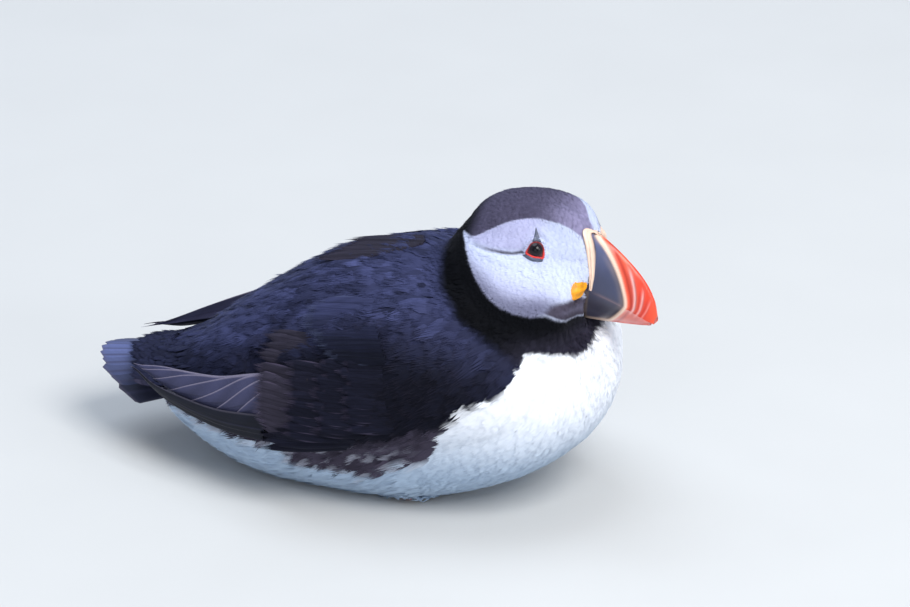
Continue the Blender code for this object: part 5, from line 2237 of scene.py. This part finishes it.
@dataclass
class Eye:
    """One eye with its red ring and the two horny plates beside it."""

    side: Side
    axes: HeadAxes
    surface: Surface
    radius: float = 3.2
    pupil: float = 26.0
    iris: float = 50.0
    pupil_tone: Place = (0.003, 0.003, 0.005)
    iris_tone: Place = (0.014, 0.01, 0.014)
    rim_tone: Place = (0.005, 0.004, 0.008)
    lid_tone: Place = (0.01, 0.006, 0.009)
    ring: Outline = (
        (-3.6, -1.1), (-2.8, 0.7), (-2, 2), (-0.8, 2.75), (0.8, 2.75), (2.1, 2), (2.8, 0.5),
        (2.85, -1.3), (2.5, -3), (0.9, -3), (-1, -2.7), (-2.6, -2),
    )
    upper_plate: Outline = (
        (-1.2, 2.9), (0.6, 3.1), (2, 2.7), (1.5, 4.3), (0.8, 6.2), (0, 8.4), (-0.5, 6), (-1, 4.3),
    )
    lower_plate: Outline = (
        (-5, -1.8), (-3.7, -1.7), (-2.4, -2.3), (0, -3.2), (2.4, -3.3), (2.6, -4.5), (0.4, -4.7),
        (-2.2, -4), (-4.3, -2.7),
    )

    def on_skin(self, ahead: float, over: float) -> Array:
        """The skin's place in the eye's own axes, straight in along its look.

        Args:
            ahead: How far ahead of the eye's middle.
            over: How far above it.

        Returns:
            The place's three numbers.
        """
        out = float(self.side.value)
        start = self.axes.world(self.axes.from_eye(np.array((ahead, over, 25.0)), out)) * MM
        way = self.axes.matrix @ -self.axes.eye_frame(out)[2]
        hit = self.surface.cast(start, way)
        if hit is None:
            return np.array((ahead, over, self.axes.lid_height))
        return self.axes.at_eye(self.axes.local(hit / MM), out)

    def piece(self, name: str, places: Array, faces: Faces, colour: Array, maps: Array) -> Piece:
        """Makes a mesh from points in the eye's own axes.

        Args:
            name: The piece's name.
            places: Its points.
            faces: Its four-sided faces and its triangles.
            colour: A linear colour for each point.
            maps: A bake place for each point.

        Returns:
            The new object.
        """
        head = self.axes.from_eye(places.reshape(-1, 3), float(self.side.value))
        quads, fans = (face[:, ::-1] if self.side is Side.RIGHT else face for face in faces)
        parts = MeshParts(self.axes.world(head) * MM, quads, fans, colour.reshape(-1, 3), maps, maps)
        return parts.to_object(name)

    def globe(self, finish: Finish) -> None:
        """Makes the eyeball.

        Args:
            finish: The wet eye's material.
        """
        rings, around = 36, 48
        angle = np.linspace(0.01, math.pi - 0.01, rings)[:, None]
        turn = np.linspace(0, 2 * math.pi, around, endpoint=False)[None]
        reach = self.radius * (1 + 0.05 * bell(np.degrees(angle), 34))
        ring, level = reach * np.sin(angle), reach * np.cos(angle) * np.ones_like(turn)
        places = np.stack([ring * np.cos(turn), ring * np.sin(turn), level], -1)
        degrees = np.degrees(angle) * np.ones_like(turn)
        colour = mixed(self.pupil_tone, self.iris_tone, ramp(self.pupil - 3, self.pupil + 3, degrees))
        colour = mixed(colour, self.rim_tone, ramp(self.iris - 4, self.iris + 4, degrees))
        word, faces = self.side.word, ball_faces(rings, around)
        piece = self.piece(f"eyeball_{word}", places, faces, colour, even_map(rings, around))
        finished(piece, finish, "eye", f"eye_{word}")

    def lids(self, finish: Finish) -> None:
        """Makes the red ring of bare skin, thickest below and drawn out to its corners.

        Args:
            finish: The bare skin's material.
        """
        section = 12
        line = spline(np.array(self.ring), 96, closed=True)
        around = len(line)
        turn = np.arctan2(line[:, 1], line[:, 0])
        gap = np.hypot(*line.T)
        ball = np.sqrt(np.maximum(self.radius**2 - gap**2, 0))
        height = np.maximum(ball, self.axes.lid_height - 0.1) + 0.05
        below = ramp(0.5, -0.7, np.sin(turn))
        thick = (0.16 + 0.3 * below) * (1 + 0.1 * np.sin(turn * 23) + 0.07 * np.sin(turn * 41 + 1))
        away = line / gap[:, None]
        angle = np.linspace(0, 2 * math.pi, section, endpoint=False)
        flat = line[:, None] + (thick[:, None] * np.cos(angle))[..., None] * away[:, None]
        out = height[:, None] + thick[:, None] * 1.25 * np.sin(angle)
        places = np.concatenate([flat, out[..., None]], -1)
        quads = grid_faces(around + 1, section, wrap=True)[:, ::-1] % (around * section)
        light = 0.7 + 0.4 * ramp(-0.5, 1, np.sin(angle))
        colour = Tone.EYE_RING.linear * light[None, :, None] * (0.4 + 0.6 * below)[:, None, None]
        share = np.linspace(0, 1, 5)[:, None, None]
        inner_gap = self.radius - 0.95
        inner = away * inner_gap
        level = math.sqrt(self.radius**2 - inner_gap**2) + 0.04
        rise = level + (height - level) * share[..., 0]
        skirt = np.concatenate([inner + (line - inner) * share, rise[..., None]], -1)
        quads = np.vstack([quads, grid_faces(5, around, wrap=True) + around * section])
        places = np.vstack([places.reshape(-1, 3), skirt.reshape(-1, 3)])
        dark = mixed(self.lid_tone * np.ones((5, around, 1)), Tone.EYE_RING.linear * 0.5, share[..., 0] ** 2)
        colour = np.vstack([colour.reshape(-1, 3), dark.reshape(-1, 3)])
        maps = np.vstack([even_map(around, section)[:, ::-1], np.full((5 * around, 2), 0.5)])
        faces = quads, np.zeros((0, 3), int)
        finished(self.piece(f"eye_ring_{self.side.word}", places, faces, colour, maps), finish, "gape_skin")

    def plate(self, name: str, corners: Outline, proud: float, finish: Finish) -> None:
        """Makes one plate of horn, domed over the skin.

        Args:
            name: Which plate it is.
            corners: Its outline in the eye's own axes.
            proud: How far it stands over the skin.
            finish: The horn's material.
        """
        ring = spline(np.array(corners), 56, closed=True)
        middle = ring.mean(0)
        loops = (1, 1, 0.9, 0.72, 0.5, 0.25, 0.04)
        heights = (-1, 0.15, 0.62, 0.85, 0.95, 1, 1)
        rows = []
        for share, height in zip(loops, heights):
            row = np.array([self.on_skin(x, z) for x, z in middle + (ring - middle) * share])
            row[:, 2] += proud * height
            rows.append(row)
        start = (len(loops) - 1) * len(ring)
        fans = np.array([(start, start + k, start + k + 1) for k in range(1, len(ring) - 1)])
        faces = grid_faces(len(loops), len(ring), wrap=True), fans
        shade = np.array((0.7, 0.8, 0.9, 1, 1.08, 1.15, 1.2))[:, None, None] * np.ones((1, len(ring), 1))
        turn = np.linspace(0, 2 * math.pi, len(ring), endpoint=False)
        maps = 0.5 + 0.45 * np.array(loops)[:, None, None] * np.stack([np.cos(turn), np.sin(turn)], -1)[None]
        word, tone = self.side.word, Tone.EYE_PLATE.linear * shade
        piece = self.piece(f"{name}_plate_{word}", np.array(rows), faces, tone, maps.reshape(-1, 2))
        finished(piece, finish, "eye_plate_horn", f"eye_plate_{name}_{word}")

    def build(self, wet: Finish, flesh: Finish, horn: Finish) -> None:
        """Makes the eye's pieces.

        Args:
            wet: The eyeball's material.
            flesh: The bare skin's material.
            horn: The plates' material.
        """
        self.globe(wet)
        self.lids(flesh)
        self.plate("upper", self.upper_plate, 0.6, horn)
        self.plate("lower", self.lower_plate, 0.7, horn)


@dataclass
class Rosette:
    """The wrinkled yellow fold at the corner of the gape."""

    side: Side
    axes: HeadAxes
    turn: float = 73.0
    radii: Place = (5.1, 3.3, 3.6)
    proud: float = 1.8
    back: float = -1.1
    up: float = 0.7
    lean: float = 0.3

    def build(self, finish: Finish) -> None:
        """Makes the piece.

        Args:
            finish: The bare skin's material.
        """
        rings, around = 40, 56
        low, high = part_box(f"gape_rosette_{self.side.word}")
        centre = self.axes.local(np.array((low + high) / 2) / MM)
        angle = np.linspace(0.02, math.pi - 0.02, rings)[:, None]
        about = np.linspace(0, 2 * math.pi, around, endpoint=False)[None]
        folds = 1 + 0.05 * np.sin(angle * 7 + 1.6 * np.sin(about * 2)) + 0.04 * np.sin(about * 4 + angle * 3)
        long, deep, tall = self.radii
        x = long * np.sin(angle) * np.cos(about) * folds
        y = deep * np.sin(angle) * np.sin(about) * folds
        z = tall * np.cos(angle) * np.ones_like(about) * (1 - 0.12 * np.cos(about)) + self.lean * x
        turn = math.radians(-self.side.value * self.turn)
        ahead = x * math.cos(turn) - y * math.sin(turn)
        out = x * math.sin(turn) + y * math.cos(turn)
        moved = np.array((self.back, self.side.value * self.proud, self.up))
        points = np.stack([ahead, out, z], -1) + centre + moved
        shade = ramp(0.86, 1.12, folds * np.ones_like(x))
        colour = mixed(Tone.ROSETTE.linear * 0.55, Tone.ROSETTE, shade)
        quads, fans = ball_faces(rings, around)
        maps = even_map(rings, around)
        world = self.axes.world(points.reshape(-1, 3)) * MM
        parts = MeshParts(world, quads, fans, colour.reshape(-1, 3), maps, maps)
        word = self.side.word
        finished(parts.to_object(f"rosette_{word}"), finish, "gape_skin", f"gape_rosette_{word}")


def main() -> None:
    """Builds the puffin in order."""
    logging.basicConfig(level=logging.INFO, format="%(name)s: %(message)s", stream=sys.stdout)
    Studio().build()
    axes = HeadAxes()
    marks = Markings(axes)
    surface = Surface(Skin(axes, marks).build())
    finishes: dict[str, Finish] = {
        "plumage": FeatherFinish("plumage_vanes", 0.6, 0.05, (0.6, 0.68, 1), 0.45),
        "white_plumage": FeatherFinish("white_vanes", 0.75, 0.05, (1, 1, 1), 0.05, 0.12),
        "face_plumage": FeatherFinish("face_vanes", 0.75, 0.05, (1, 1, 1), 0.04, 0.12),
        "collar_plumage": FeatherFinish("collar_vanes", 0.7, 0.04, (0.8, 0.8, 1), 0.2),
    }
    coat = Coat(surface, marks)
    Plumage(coat, marks, axes, finishes).build()
    Rows(coat, finishes).build()
    flight = FlightFinish()
    Primaries(Side.RIGHT, RIGHT_BLADE).build(flight)
    Primaries(Side.LEFT, LEFT_BLADE).build(flight)
    TailFan().build(flight)
    Bill(axes, surface).build(HornFinish("bill_horn_bands", 0.38, 0.1))
    wet, flesh = EyeFinish(), FleshFinish("soft_skin", 0.5, 900, 0.0004)
    plates = HornFinish("eye_plate_horn", 0.45, 0.12)
    for side in Side:
        Eye(side, axes, surface).build(wet, flesh, plates)
        Rosette(side, axes).build(flesh)
    foot = FootFinish()
    for node in ("leg_right", "leg_left"):
        foot.dress(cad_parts[node])


if __name__ == "__main__":
    main()
